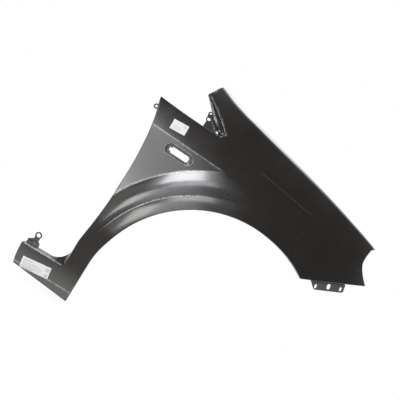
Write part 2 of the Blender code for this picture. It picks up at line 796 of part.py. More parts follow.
def add_cutters(obj, cutters, collection):
    """One object of separate cutting solids, taken out of the sheet by an exact Boolean."""
    mesh = bpy.data.meshes.new(obj.name + "_holes")
    cutters.to_mesh(mesh)
    cutters.free()
    cutter = bpy.data.objects.new(obj.name + "_holes", mesh)
    collection.objects.link(cutter)
    cutter.hide_render = True
    cutter.display_type = "WIRE"
    cut = obj.modifiers.new("holes", "BOOLEAN")
    cut.operation = "DIFFERENCE"
    cut.solver = "EXACT"
    cut.object = cutter
    return cutter


def add_slot(cutters, centre, axis, along, radius, length=0.0, depth=0.012, sides=16):
    """A round or slotted cutter through centre, its slot running along a direction."""
    axis, along = axis.normalized(), along.normalized()
    across = axis.cross(along).normalized()
    turn = Matrix((across.cross(axis), across, axis)).transposed().to_4x4()
    made = bmesh.ops.create_cone(cutters, cap_ends=True, segments=sides, radius1=radius,
                                 radius2=radius, depth=depth)
    for vertex in made["verts"]:
        vertex.co.x += math.copysign(length / 2, vertex.co.x) if abs(vertex.co.x) > 1e-6 else 0.0
    bmesh.ops.transform(cutters, verts=made["verts"], matrix=Matrix.Translation(centre) @ turn)


# The panel

def pocket_ring(distance, count=28):
    """Closed line a given distance outside the rim of the side lamp pocket."""
    half = (POCKET_LENGTH - POCKET_HEIGHT) / 2
    radius = POCKET_HEIGHT / 2 + distance
    ring = []
    for k in range(count):
        angle = 2 * math.pi * (k + 0.5) / count
        side = half if math.cos(angle) > 0 else -half
        ring.append(Vector((POCKET_PLACE[0] + side + radius * math.cos(angle),
                            POCKET_PLACE[1] + radius * math.sin(angle))))
    return ring


def lamp_hole():
    """The keyed side lamp opening: chamfered in front, a narrower key behind."""
    half_l, half_h = LAMP_HOLE_LENGTH / 2, LAMP_HOLE_HEIGHT / 2
    cut, key = LAMP_HOLE_CHAMFER, LAMP_HOLE_KEY
    corners = [(-half_l, half_h - cut), (-half_l + key, half_h - cut), (-half_l + key + 0.002, half_h),
               (half_l - cut, half_h), (half_l, half_h - cut), (half_l, cut - half_h),
               (half_l - cut, -half_h), (-half_l + key + 0.002, -half_h),
               (-half_l + key, cut - half_h), (-half_l, cut - half_h)]
    return [Vector(POCKET_PLACE) + Vector(c) for c in corners]


def ring_line(radius, angle_from, angle_to, step):
    count = max(2, round(radius * abs(angle_to - angle_from) / step))
    angles = [lerp(angle_from, angle_to, k / count) for k in range(count + 1)]
    return [Vector((radius * math.sin(a), radius * math.cos(a))) for a in angles]


def crease_lines(loop, step):
    """The pressed lines of the skin, kept clear of the outline."""
    door_x, crease_end = DOOR_EDGE[1][0] - 0.02, CREASE_END + 0.03
    shoulder = resampled(line((door_x, shoulder_line(door_x)), (crease_end, shoulder_line(crease_end))), step)
    sill = resampled(line((FOOT_REAR, sill_line(FOOT_REAR)), (-ARCH_RADIUS, SILL_HEIGHT)), step)
    flare = []
    for point in ring_line(FLARE_RADIUS, math.radians(-70), FLARE_END_ANGLE + 0.12, step):
        angle = math.atan2(point.x, point.y)
        radius = FLARE_RADIUS - FLARE_TAPER * max(0.0, FLARE_END_ANGLE - angle)
        flare.append(point * (radius / FLARE_RADIUS))
    lip = ring_line(LIP_RADIUS, LIP_REAR_ANGLE, LIP_FRONT_ANGLE + 0.3, step)
    rolls = []
    for k in range(ROLL_STEPS + 1):
        row = []
        for p in bonnet_line():
            start, length = roll_start(p.x), roll_length(p.x)
            row.append(Vector((p.x, start + length * k / ROLL_STEPS)))
        rolls.append(row)
    lines = []
    for points in [shoulder, sill, flare, lip] + rolls:
        run = []
        for p in points:
            clear = inside(p, loop) and min(
                distance_to(p, a, b) for a, b in zip(loop, loop[1:] + loop[:1])) > 0.0035
            if clear:
                run.append(p)
                continue
            if len(run) > 1:
                lines.append(run)
            run = []
        if len(run) > 1:
            lines.append(run)
    return lines


def section_steps(name):
    return EDGE_STEP * {"arch": 1.0, "sill": 1.6, "horn": 0.7, "foot": 1.2}.get(name, 1.1)


def build_panel(material, collection, cutter_collection):
    """The pressed outer panel with all its folded edges, one sheet."""
    drawn = outline_sections()
    sections = {}
    for name, points in drawn.items():
        if name == "bonnet":
            sections[name] = points
            continue
        sections[name] = resampled(points, section_steps(name), EDGE_BEND)
    insets = {name: 0.0 if name == "bonnet" else FOLD_RADIUS for name in sections}
    sections = inset_outline(sections, insets)
    loop = [p for points in sections.values() for p in points[:-1]]
    rings = [pocket_ring(0.0), pocket_ring(-POCKET_WALL)]
    lines = crease_lines(loop, EDGE_STEP) + [ring + ring[:1] for ring in rings]
    places, faces = triangulated(loop, [lamp_hole()], lines, MESH_STEP)
    builder = bmesh.new()
    verts = [builder.verts.new(body_point(p.x, p.y)) for p in places]
    for face in faces:
        builder.faces.new([verts[k] for k in face])
    add_flanges(builder, sections, places, verts)
    bmesh.ops.delete(builder, geom=[v for v in builder.verts if not v.link_faces], context="VERTS")
    bmesh.ops.recalc_face_normals(builder, faces=builder.faces)
    builder.faces.ensure_lookup_table()
    facing = sum(f.normal.y * f.calc_area() for f in builder.faces)
    if facing > 0:
        bmesh.ops.reverse_faces(builder, faces=builder.faces)
    panel = add_object("fender_panel", builder, material, collection, SHEET)
    cutters = panel_holes(sections)
    add_cutters(panel, cutters, cutter_collection)
    return panel, sections


def add_flanges(builder, sections, places, verts):
    """Extrude each edge of the face along its fold profile and close the corners over the bends."""
    finder = {(round(p.x, 6), round(p.y, 6)): v for p, v in zip(places, verts)}
    strips = []
    for name, points in sections.items():
        bases = [finder[(round(p.x, 6), round(p.y, 6))] for p in points]
        columns = [[base] + [builder.verts.new(co) for co in column]
                   for base, column in zip(bases, flange_columns(name, points))]
        strips.append(columns)
        for left, right in zip(columns, columns[1:]):
            for row in range(min(len(left), len(right)) - 1):
                builder.faces.new((left[row], left[row + 1], right[row + 1], right[row]))
    for before, after in zip(strips, strips[1:] + strips[:1]):
        left, right = before[-1], after[0]
        builder.faces.new((left[0], left[1], right[1]))
        for row in range(1, FOLD_STEPS):
            builder.faces.new((left[row], left[row + 1], right[row + 1], right[row]))


def panel_holes(sections):
    """Bolt holes beside the bonnet, liner clip holes round the arch and screw holes under the sill."""
    cutters = bmesh.new()
    _, along, up = bolt_plane()
    for k, x in enumerate(BOLT_PLACES):
        centre = bolt_flange_point(sections, x)
        add_slot(cutters, centre, up, along, BOLT_HOLE / 2, BOLT_SLOT if k % 2 else 0.0)
    for degrees in CLIP_ANGLES:
        angle = math.radians(degrees)
        radius = arch_radius(angle)
        outward = Vector((math.sin(angle), 0, math.cos(angle)))
        centre = outward * radius
        centre.y = skin_depth(centre.x, centre.z) + FOLD_RADIUS + ARCH_FLANGE * 0.55
        add_slot(cutters, centre, outward, Vector((0, 1, 0)), CLIP_HOLE / 2, sides=12)
    for x in SILL_HOLE_PLACES:
        share = (x - FOOT_REAR) / (-ARCH_RADIUS - FOOT_REAR)
        z = lerp(FOOT_BOTTOM_REAR, FOOT_BOTTOM_FRONT, share)
        centre = Vector((x, skin_depth(x, z) + FOLD_RADIUS + SILL_FLANGE * 0.5, z))
        add_slot(cutters, centre, Vector((0, -SILL_TILT, 1)), Vector((1, 0, 0)), SILL_HOLE / 2, 0.004,
                 depth=0.020, sides=12)
    return cutters


def bolt_flange_point(sections, x):
    """Middle of the bolt flange at x, on its upper side."""
    columns = bonnet_columns(sections["bonnet"])
    for left, right in zip(columns, columns[1:]):
        if left[-1].x <= x <= right[-1].x:
            break
    t = (x - left[-1].x) / (right[-1].x - left[-1].x)
    return left[-1].lerp(right[-1], t) - Vector((0, BOLT_FLANGE / 2, 0))


# Welded brackets, each a flat pattern folded about lines across it

def folded_point(u, v, folds):
    """Pattern point after the folds: u across, v along the sheet, the third value up from its base."""
    along, up, angle, done = 0.0, 0.0, 0.0, -1.0
    first = True
    for start, turn, radius in folds:
        if v <= start:
            break
        straight = start if first else start - done
        along += straight * math.cos(angle)
        up += straight * math.sin(angle)
        first = False
        part = min(v - start, radius * abs(turn))
        now = angle + part / radius * math.copysign(1, turn)
        sign = math.copysign(1, turn)
        along += sign * radius * (math.sin(now) - math.sin(angle))
        up += sign * radius * (math.cos(angle) - math.cos(now))
        angle, done = now, start + radius * abs(turn)
        if v <= done:
            return Vector((u, along, up))
    rest = v if first else v - done
    return Vector((u, along + rest * math.cos(angle), up + rest * math.sin(angle)))


def circle(centre, radius, count=16):
    return [Vector(centre) + Vector((math.cos(a), math.sin(a))) * radius
            for a in (2 * math.pi * (k + 0.5) / count for k in range(count))]


def arc_points(centre, radius, start, end, count=8):
    return [Vector(centre) + Vector((math.cos(a), math.sin(a))) * radius
            for a in (math.radians(lerp(start, end, k / count)) for k in range(count + 1))]


def build_folded(name, outline, holes, folds, place, side, material, collection, step=0.009):
    """A bent bracket. Its drawn face is the one that touches the panel; the sheet grows to one side."""
    outline = [p for a, b in zip(outline, outline[1:] + outline[:1])
               for p in resampled([a, b], step * 0.75)[:-1]]
    left, right = min(p.x for p in outline) - 0.01, max(p.x for p in outline) + 0.01
    lines = []
    for start, turn, radius in folds:
        for k in range(FOLD_STEPS + 1):
            v = start + radius * abs(turn) * k / FOLD_STEPS
            row = resampled(line((left, v), (right, v)), step * 0.7)
            row = [p for p in row if inside(p, outline) and not any(inside(p, h) for h in holes)]
            if len(row) > 1:
                lines.append(row)
    places, faces = triangulated(outline, holes, lines, step)
    builder = bmesh.new()
    verts = [builder.verts.new(place @ folded_point(p.x, p.y, folds)) for p in places]
    for face in faces:
        builder.faces.new([verts[k] for k in face])
    bmesh.ops.delete(builder, geom=[v for v in builder.verts if not v.link_faces], context="VERTS")
    bmesh.ops.recalc_face_normals(builder, faces=builder.faces)
    up = place.to_3x3() @ Vector((0, 0, 1))
    base = min(builder.faces, key=lambda f: (f.calc_center_median() - place.translation).length)
    if base.normal.dot(up) < 0:
        bmesh.ops.reverse_faces(builder, faces=builder.faces)
    return add_object(name, builder, material, collection, BRACKET_SHEET, side)


def flange_place(sections, name, at, row=-1):
    """Point on the free edge of a flange, the way along it, and its two last rows' direction."""
    columns = flange_columns(name, sections[name])
    for k in range(len(columns) - 1):
        here, there = columns[k][row], columns[k + 1][row]
        if (at(here) <= 0) != (at(there) <= 0):
            break
    share = at(here) / (at(here) - at(there))
    point = here.lerp(there, share)
    root = columns[k][row - 1].lerp(columns[k + 1][row - 1], share)
    along = (there - here).normalized()
    inward = (point - root)
    inward = (inward - along * inward.dot(along)).normalized()
    return point, along, inward


def base_matrix(point, across, forward, lift=0.0):
    """Matrix whose X runs along the flange, Y along its width, Z square to it, raised by lift."""
    up = across.cross(forward).normalized()
    turn = Matrix((across, forward, up)).transposed().to_4x4()
    return Matrix.Translation(point + up * lift) @ turn


def seated(sections, name, at, half, sheet, row=-1, way=1):
    """Base of a bracket under a flange, clear of the flange's bow over the bracket's width."""
    point, along, inward = flange_place(sections, name, at, row)
    forward = inward * way
    to_base = base_matrix(point, along, forward).inverted()
    flat = [to_base @ p for column in flange_columns(name, sections[name])
            for p in column[FOLD_STEPS - 1:FOLD_STEPS + 1]]
    bow = max([0.0] + [-p.z for p in flat if abs(p.x) < half + EDGE_STEP])
    return base_matrix(point, along, forward, -sheet - bow - SEAT_GAP)


def build_sill_ear(sections, material, collection):
    """Lower rear bracket: a base welded under the ledge and an ear with a bolt hole above it."""
    place = seated(sections, "door", lambda p: p.x - SILL_EAR_X, SILL_EAR_WIDTH / 2, SHEET)
    bend = EDGE_CLEARANCE + SHEET
    top = bend + BRACKET_BEND * (math.pi / 2 - 1)
    half, centre = SILL_EAR_WIDTH / 2, Vector((SILL_EAR_SHIFT, top + SILL_EAR_HEIGHT))
    neck = SILL_EAR_RING * 0.78
    outline = [Vector(c) for c in ((-half, -BASE_LAP * 1.6), (half, -BASE_LAP * 1.6), (half, top + 0.008),
                                   (half - 0.008, top + 0.014), (centre.x + neck, top + 0.021))]
    outline += arc_points(centre, SILL_EAR_RING, -30, 210, 12)
    outline += [Vector(c) for c in ((centre.x - neck, top + 0.018), (-half + 0.008, top + 0.013),
                                    (-half, top + 0.009))]
    return build_folded("sill_bracket", outline, [circle(centre, SILL_EAR_HOLE)],
                        [(bend, math.pi / 2, BRACKET_BEND)], place, -1.0, material, collection)


def build_door_ear(sections, material, collection):
    """Upper rear bracket: a base welded in front of the door flange and a small ear behind it."""
    place = seated(sections, "door", lambda p: p.z - DOOR_EAR_Z, DOOR_EAR_WIDTH / 2, SHEET)
    bend = EDGE_CLEARANCE + SHEET
    top = bend + BRACKET_BEND * (math.pi / 2 - 1)
    half, centre = DOOR_EAR_WIDTH / 2, Vector((0, top + DOOR_EAR_REACH))
    outline = [Vector(c) for c in ((-half, -BASE_LAP), (half, -BASE_LAP), (half, top),
                                   (DOOR_EAR_RING, top + DOOR_EAR_REACH * 0.7))]
    outline += arc_points(centre, DOOR_EAR_RING, 0, 180, 10)
    outline += [Vector(c) for c in ((-DOOR_EAR_RING, top + DOOR_EAR_REACH * 0.7), (-half, top))]
    return build_folded("upper_bracket", outline, [circle(centre, DOOR_EAR_HOLE, 12)],
                        [(bend, math.pi / 2, BRACKET_BEND)], place, -1.0, material, collection, 0.007)


def build_scuttle_plate(sections, material, collection):
    """Three-hole bracket in the notch: a base under the belt flange and a plate leaning inboard."""
    half = (SCUTTLE_PLATE_FRONT - SCUTTLE_PLATE_REAR) / 2 - EDGE_STEP
    place = seated(sections, "belt", lambda p: p.x - SCUTTLE_PLATE_X, half, SHEET, FOLD_STEPS)
    point, along, inward = place.translation, place.col[0].to_3d(), place.col[1].to_3d()
    bend = SCUTTLE_PLATE_REACH
    turn = SCUTTLE_PLATE_RISE - math.asin(inward.z)
    start = bend + BRACKET_BEND * turn
    folds = [(bend, turn, BRACKET_BEND)]
    foot = place @ folded_point(0, start, folds)
    rise = place @ folded_point(0, start + 1, folds) - foot

    def on_plate(x, z):
        dx, dz = x - foot.x, z - foot.z
        size = along.x * rise.z - along.z * rise.x
        return Vector(((dx * rise.z - dz * rise.x) / size, start + (along.x * dz - along.z * dx) / size))

    top, main, small = (on_plate(*hole[:2]) for hole in (SCUTTLE_TOP_HOLE, SCUTTLE_MAIN_HOLE, SCUTTLE_LOW_HOLE))
    rear, front = SCUTTLE_PLATE_REAR - point.x, SCUTTLE_PLATE_FRONT - point.x
    outline = [Vector((rear, -BASE_LAP)), Vector((front, -BASE_LAP)), Vector((front, small.y))]
    outline += arc_points(small, SCUTTLE_LOW_RING, 20, 60, 3)
    outline += arc_points(top, SCUTTLE_TOP_RADIUS, 50, 190, 8)
    outline += arc_points(main, SCUTTLE_RING, 150, 210, 4)
    outline += [Vector((rear, main.y - SCUTTLE_RING))]
    holes = [circle(top, SCUTTLE_TOP_HOLE[2], 12), circle(main, SCUTTLE_MAIN_HOLE[2]),
             circle(small, SCUTTLE_LOW_HOLE[2], 12)]
    return build_folded("scuttle_bracket", outline, holes, folds, place, -1.0, material, collection)


def build_bumper_plate(sections, material, collection):
    """Slotted bracket below the bumper edge: a base under the flange and a plate hanging from it."""
    half, foot = BUMPER_PLATE_TOP / 2, BUMPER_PLATE_FOOT / 2
    place = seated(sections, "bumper", lambda p: p.x - BUMPER_PLATE_X, half, 0.0, way=-1)
    bend = BASE_LAP
    top = bend + BRACKET_BEND * (math.pi / 2 - 1)
    low = top + BUMPER_PLATE_HEIGHT
    corner = BUMPER_PLATE_CORNER
    left, right = BUMPER_PLATE_SHIFT - foot, BUMPER_PLATE_SHIFT + foot
    outline = [Vector(c) for c in ((-half, 0.001), (half, 0.001), (half, top + 0.002),
                                   (right + corner * 0.4, low - corner), (right - corner, low),
                                   (left + corner, low), (left - corner * 0.4, low - corner),
                                   (-half, top + 0.002))]
    holes = [slot_outline((across, top + down), width / 2, height, BUMPER_SLOT_LEAN)
             for across, down, width, height in BUMPER_SLOTS]
    return build_folded("bumper_bracket", outline, holes, [(bend, -math.pi / 2, BRACKET_BEND)], place, -1.0,
                        material, collection)


def slot_outline(centre, radius, height, lean, count=14):
    """A slot: two half circles joined by straight sides, its length leaning off the upright."""
    reach = max(0.0, height - 2 * radius) / 2
    long_way = Vector((math.sin(lean), math.cos(lean))) * reach
    ring = circle((0, 0), radius, count)
    return [Vector(centre) + p + (long_way if p.dot(long_way) > 0 else -long_way) for p in ring]


def build_label(name, label, material, collection):
    """A paper label lying on the skin, bent with it over any crease below."""
    x, z, width, height, turn = label
    corners = [(-1, -1), (1, -1), (1, 1), (-1, 1)]
    across, up = Vector((math.cos(turn), math.sin(turn))), Vector((-math.sin(turn), math.cos(turn)))
    outline = [Vector((x, z)) + across * (i * width / 2) + up * (j * height / 2) for i, j in corners]
    outline = [p for a, b in zip(outline, outline[1:] + outline[:1]) for p in resampled([a, b], 0.007)[:-1]]
    crease = resampled(line((x - width, sill_line(x - width)), (x + width, sill_line(x + width))), 0.006)
    crease = [p for p in crease if inside(p, outline)]
    places, faces = triangulated(outline, [], [crease] if len(crease) > 1 else [], 0.008)
    builder = bmesh.new()
    verts = [builder.verts.new(body_point(p.x, p.y) + body_normal(p.x, p.y) * LABEL_GAP) for p in places]
    for face in faces:
        builder.faces.new([verts[k] for k in face])
    bmesh.ops.delete(builder, geom=[v for v in builder.verts if not v.link_faces], context="VERTS")
    bmesh.ops.recalc_face_normals(builder, faces=builder.faces)
    builder.faces.ensure_lookup_table()
    if builder.faces[0].normal.y > 0:
        bmesh.ops.reverse_faces(builder, faces=builder.faces)
    return add_object(name, builder, material, collection, LABEL_PAPER, 1.0)


def clear_scene():
    for obj in list(bpy.data.objects):
        bpy.data.objects.remove(obj, do_unlink=True)


def main():
    clear_scene()
    fender = bpy.data.collections.new("front_fender")
    cutters = bpy.data.collections.new("cutters")
    bpy.context.scene.collection.children.link(fender)
    bpy.context.scene.collection.children.link(cutters)
    coat = new_material("black_e_coat", (0.028, 0.026, 0.027), 0.32, 0.0)
    plate = new_material("coated_bracket_steel", (0.060, 0.058, 0.060), 0.45, 0.0)
    paper = new_material("label_paper", (0.86, 0.86, 0.84), 0.75, 0.0)
    panel, sections = build_panel(coat, fender, cutters)
    pieces = [panel]
    pieces += [make(sections, plate, fender) for make in
               (build_sill_ear, build_door_ear, build_scuttle_plate, build_bumper_plate)]
    pieces += [build_label("sill_label", SILL_LABEL, paper, fender),
               build_label("wing_label", WING_LABEL, paper, fender)]
    seat = bolt_flange_point(sections, ORIGIN_X) - bolt_plane()[2] * SHEET
    datum = bpy.data.objects.new("wheel_centre_datum", None)
    fender.objects.link(datum)
    datum.location = -seat
    for piece in pieces:
        piece.parent = datum
    for cutter in cutters.objects:
        cutter.parent = datum
    bpy.context.view_layer.update()


main()
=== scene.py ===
"""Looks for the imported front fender: a black-coated pressed panel on a white ground.

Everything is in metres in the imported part's frame: +X forward, +Y inboard, +Z up, painted side facing -Y.
Sizes of the body surface are measured from the wheel centre, as body drawings do.
"""

import math

import bmesh
import bpy
from mathutils import Matrix, Vector


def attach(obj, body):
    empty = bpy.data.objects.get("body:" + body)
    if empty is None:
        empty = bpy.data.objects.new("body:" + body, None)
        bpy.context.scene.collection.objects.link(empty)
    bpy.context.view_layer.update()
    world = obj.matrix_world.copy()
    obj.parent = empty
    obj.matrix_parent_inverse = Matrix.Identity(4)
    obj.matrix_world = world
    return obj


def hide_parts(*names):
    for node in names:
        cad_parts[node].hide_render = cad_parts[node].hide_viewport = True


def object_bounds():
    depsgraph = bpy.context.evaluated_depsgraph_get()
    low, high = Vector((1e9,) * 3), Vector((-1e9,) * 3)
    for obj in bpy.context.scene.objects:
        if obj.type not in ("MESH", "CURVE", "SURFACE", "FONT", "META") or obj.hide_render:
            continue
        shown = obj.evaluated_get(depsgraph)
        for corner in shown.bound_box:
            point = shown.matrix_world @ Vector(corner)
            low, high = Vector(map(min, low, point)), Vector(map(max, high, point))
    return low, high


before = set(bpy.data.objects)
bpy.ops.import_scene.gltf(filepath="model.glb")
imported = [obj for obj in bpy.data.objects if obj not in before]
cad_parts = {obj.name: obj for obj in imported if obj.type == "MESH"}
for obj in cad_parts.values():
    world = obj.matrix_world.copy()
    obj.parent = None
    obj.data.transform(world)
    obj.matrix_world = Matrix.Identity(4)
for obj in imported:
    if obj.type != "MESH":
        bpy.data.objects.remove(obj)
cad_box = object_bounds()

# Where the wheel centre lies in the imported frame
WHEEL_CENTRE = Vector((0.005192, -0.146773, -0.564633))

# Body surface, as in the pressed panel
ARCH_RADIUS = 0.3475
SHOULDER_HEIGHT = 0.4385
SHOULDER_FALL = 0.0175
SILL_HEIGHT = -0.108
SILL_FALL = 0.060
NOTCH = (-0.2160, 0.5180)
BODY_INSET = 0.015
CROWN_HEIGHT = 0.250
CROWN_RADIUS = 2.6
PLAN_RADIUS = 8.0
NOSE_START = -0.060
NOSE_LENGTH = 0.420
NOSE_WRAP = 0.105
NOSE_POWER = 2.2
SHOULDER_TILT = 0.20
NOSE_TILT = 0.38
TILT_CHANGE = (-0.30, 0.15)
SHOULDER_RADIUS = 0.50
CREASE_END = -0.185
CREASE_LEAD = 0.02
CREASE_FADE = 0.26
CREASE_SHARP = 0.002
CREASE_SOFT = 0.075
SILL_TILT = 0.30
SILL_SOFT = 0.001
BELT_CREASE_TILT = 0.07
BELT_CREASE_END = -0.170
BELT_CREASE_DROP = 0.005
BELT_CREASE_SOFT = 0.002
NOSE_CREASE_TILT = 0.05
NOSE_CREASE = ((-0.090, 0.4972), (0.131, 0.4706))
NOSE_CREASE_BEGINS = (-0.03, 0.04)
NOSE_CREASE_ENDS = (-0.04, 0.02)
NOSE_CREASE_WIDTHS = (0.004, 0.060)
FLARE_WIDTH = 0.1165
FLARE_RADIUS = ARCH_RADIUS + FLARE_WIDTH
FLARE_TAPER = 0.017
FLARE_END_ANGLE = math.radians(-20)
FLARE_SOFT_ANGLE = math.radians(23)
FLARE_SHARP = 0.0015
FLARE_SOFT = 0.060
FLARE_HEIGHT = 0.012
FLARE_RISE = 0.8
FLARE_MOST_RISE = 1.3
LIP_WIDTH = 0.0415
LIP_RADIUS = ARCH_RADIUS + LIP_WIDTH
LIP_SOFT = 0.5
LIP_HEIGHT = 0.0045
LIP_MOST_RISE = 1.2
FLARE_FADE_START = math.radians(-93)
FLARE_FADE_END = math.radians(-72)
FLARE_FRONT_SHARE = 0.45
FLARE_FRONT_START = math.radians(-26)
FLARE_FRONT_END = math.radians(34)
POCKET_PLACE = (-0.3085, 0.4055)
POCKET_LENGTH = 0.090
POCKET_HEIGHT = 0.032
POCKET_DEPTH = 0.0022
POCKET_WALL = 0.0028
POCKET_STEP = 0.006
POCKET_SHARES = (0.72, 0.28)
HORN_CORNER_X = -0.311
HEADLAMP_TIP_X = 0.3490
ROLL_RADIUS_REAR = 0.046
ROLL_RADIUS_FRONT = 0.016
ROLL_END_ANGLE = math.radians(80)
ROLL_SLACK = 0.02
ROLL_ROUNDS = 3
ROLL_LOWEST = 0.38
HORN_LEAN = 0.30
HORN_LEAN_START = -0.20
LAMP_LEAN = 0.55
LAMP_LEAN_START = 0.22
LAND = 0.004
SHOULDER_START_X = -0.4235
BONNET_EDGE = ((-0.311, 0.6640), (-0.262, 0.6450), (-0.176, 0.6225), (-0.058, 0.5955),
               (0.059, 0.5705), (0.177, 0.5440), (0.270, 0.5215), (0.345, 0.5020))

# Finer surface of the shown panel. A packed point this close to the body surface lies on its outer face,
# and a new point between two such is moved by no more than the sag
SKIN_MATCH = 8e-5
SKIN_SAG = 0.002
WELD = 1e-6
KEY_DIGITS = 7
SPLIT_LENGTH = 0.004
SKIN_CUTS = 3
CREASE_PASSES = 3
CREASE_TURN = math.radians(3)
CREASE_STEP = 0.0016
SHARP_FOLD = math.radians(38)
INNER_FACE_Y = 0.2
UPPER_FACE_Z = 0.5

# Painted highlights along the folds, a light coat colour where the folds catch the light: how far the surface
# turns within the reach, and where round the flare
HIGHLIGHT_TURN = (math.radians(2), math.radians(9))
HIGHLIGHT_REACH = 0.0014
DIAGONAL = 0.7
FLARE_HIGHLIGHT = (math.radians(-78), math.radians(-62), math.radians(-38), math.radians(-24))
# Sharp edges of the channel in the notch, above this height and behind this place, and the strength of the
# painted highlight along them
CHANNEL_LINE = (0.528, -0.205)
CHANNEL_HIGHLIGHT = 0.8
LINE_FADE = 0.030
# Straight pressed lines with a painted highlight along them: rear x and z, front x and z, half width, strength
# of the painted highlight
HIGHLIGHT_LINES = (
    (-0.5530, -0.0599, -0.4110, -0.0525, 0.0020, 0.90),
    (-0.0900, 0.4972, 0.1310, 0.4706, 0.0022, 0.10),
)

# Small web that closes the end of the channel in the notch: its outline in the side view, and its slope
WEB_OUTLINE = ((-0.2466, 0.5148), (-0.2375, 0.5125), (-0.2345, 0.5255), (-0.2400, 0.5345), (-0.2492, 0.5345))
WEB_DEPTH = 0.0630
WEB_SLOPE = 0.65
WEB_THICKNESS = 0.0008

# Roughness of every noise texture
NOISE_ROUGHNESS = 0.55

# Dip coat
COAT_COLOUR = (0.0185, 0.0160, 0.0130)
COAT_ROUGHNESS = 0.25
COAT_IOR = 1.58
COAT_GLOSS = 0.8
COAT_GLOSS_ROUGHNESS = 0.12
COAT_PEEL = 0.000004
BRACKET_COLOUR = (0.100, 0.097, 0.098)
EAR_COLOUR = (0.042, 0.039, 0.038)
BRACKET_ROUGHNESS = 0.42
BRACKET_PEEL = 0.00006
PEEL_SCALE = 420.0
PEEL_SHARE = 0.4
WAVE_SCALE = 14.0
DUST_CLOUDS = 9.0
DUST_CLOUD_RANGE = (0.30, 0.85)
DUST_SPECKS = 700.0
DUST_SPECK_RANGE = (0.70, 0.78)
DUST_HALF = 0.5
DUST_SHARE = 0.010
DUST_COLOUR = (0.55, 0.53, 0.50, 1)
CLOUD_ROUGHNESS = (0.3, 0.7, -0.03, 0.05)
# Painted highlight along the folds: noise that breaks it up, extra roughness there, and its light colour
HIGHLIGHT_NOISE_SCALE = 160.0
HIGHLIGHT_NOISE_RANGE = (0.30, 0.62)
HIGHLIGHT_ROUGHNESS = 0.15
CREASE_HIGHLIGHT_COLOUR = (0.40, 0.395, 0.39, 1)

# Label paper
PAPER_COLOUR = (0.88, 0.875, 0.86)
PAPER_SHADE = (0.80, 0.80, 0.78, 1)
FIELD_COLOUR = (0.46, 0.46, 0.46, 1)
PAPER_GRAIN = 0.00002
PAPER_FIBRES = 900.0
PAPER_FIBRE_RANGE = (0.3, 0.8)
PAPER_SHADE_SHARE = 0.3
PAPER_ROUGHNESS = (0.52, 0.70)
# Plain bars on the labels: from and to along it, from and to across it, as shares of it from its middle
SILL_FIELDS = ((-0.44, -0.16, 0.26, 0.38), (-0.44, 0.10, 0.08, 0.16), (-0.44, 0.22, -0.08, 0.00),
               (-0.44, 0.16, -0.24, -0.16), (-0.44, -0.05, -0.40, -0.32), (0.32, 0.45, 0.05, 0.38),
               (0.34, 0.44, -0.38, -0.14))
WING_FIELDS = ((-0.38, 0.10, -0.12, -0.04), (-0.38, 0.20, -0.26, -0.18), (-0.38, 0.00, -0.40, -0.32),
               (0.22, 0.40, 0.10, 0.34))
# Each label with its bars and how dark they are
LABELS = (("sill_label", SILL_FIELDS, 0.55), ("wing_label", WING_FIELDS, 0.35))

# Studio: the spot of the fender that the lamps face, as x and z, and how far they stand from it. Then each
# lamp: its direction from there as picture right, picture up and to the camera, its size as a share of the
# distance, its radiance and its colour
LAMP_SPOT = (-0.18, 0.33)
LAMP_DISTANCE = 6.0
SOFTBOXES = (
    ("key", (-0.06, 0.675, 0.735), (0.26, 0.42), 15.0, (0.95, 0.96, 1.0)),
    ("key_skirt", (0.00, 0.41, 0.910), (0.24, 0.18), 5.0, (0.95, 0.96, 1.0)),
    ("front_strip", (-0.08, 0.12, 0.99), (0.18, 0.60), 2.2, (0.97, 0.98, 1.0)),
    ("door_strip", (-0.265, 0.17, 0.95), (0.17, 0.28), 7.5, (1.0, 1.0, 0.98)),
    ("rear_wall", (-0.62, 0.40, 0.72), (0.50, 0.65), 0.75, (1.0, 1.0, 1.0)),
    ("ceiling", (0.46, 0.69, -0.56), (0.50, 0.50), 3.2, (1.0, 1.0, 1.0)),
    ("bow_side", (0.93, -0.33, -0.10), (0.50, 0.40), 1.2, (1.0, 1.0, 1.0)),
)
ROOM_COLOUR = (0.085, 0.085, 0.09, 1)
WHITE = (1, 1, 1, 1)
# Share of the way inboard over which the room turns into the white ground
GROUND_EDGE = (-0.08, 0.35)
FLOOR_SIZE = 5.0
FLOOR_MIDDLE_X = -0.1
FLOOR_GAP = 0.002
FLOOR_SHADE = 0.80
FLOOR_ROUGHNESS = 0.9
FLOOR_FADE = (0.46, 0.12)
FLOOR_SHADOW = 0.30
FLOOR_LIFT = 0.65
# Painted light on the floor: it glows to mirrored rays, brighter close to the fender, so the coat reflects a
# lit floor. Y and strength far in front of the fender and close to it
FLOOR_REFLECTED_GLOW = ((-0.34, 0.25), (-0.18, 1.45))

# Camera: straight at the outer side, rolled as the part was laid
CAMERA_DISTANCE = 2.2
CAMERA_AIM = Vector((-0.1843, 0.0, 0.3289))
CAMERA_ROLL = math.radians(33.5)
PIXEL_AT_WHEEL = 0.00287
IMAGE_WIDTH = 400
SENSOR = 36.0


def smoothstep(low, high, value):
    t = min(1.0, max(0.0, (value - low) / (high - low)))
    return t * t * (3 - 2 * t)


def ramp(value, width):
    """0 well below zero and the value itself well above, rounded over the width."""
    return 0.5 * (value + math.sqrt(value * value + width * width))


def lerp(a, b, t):
    return a + (b - a) * t


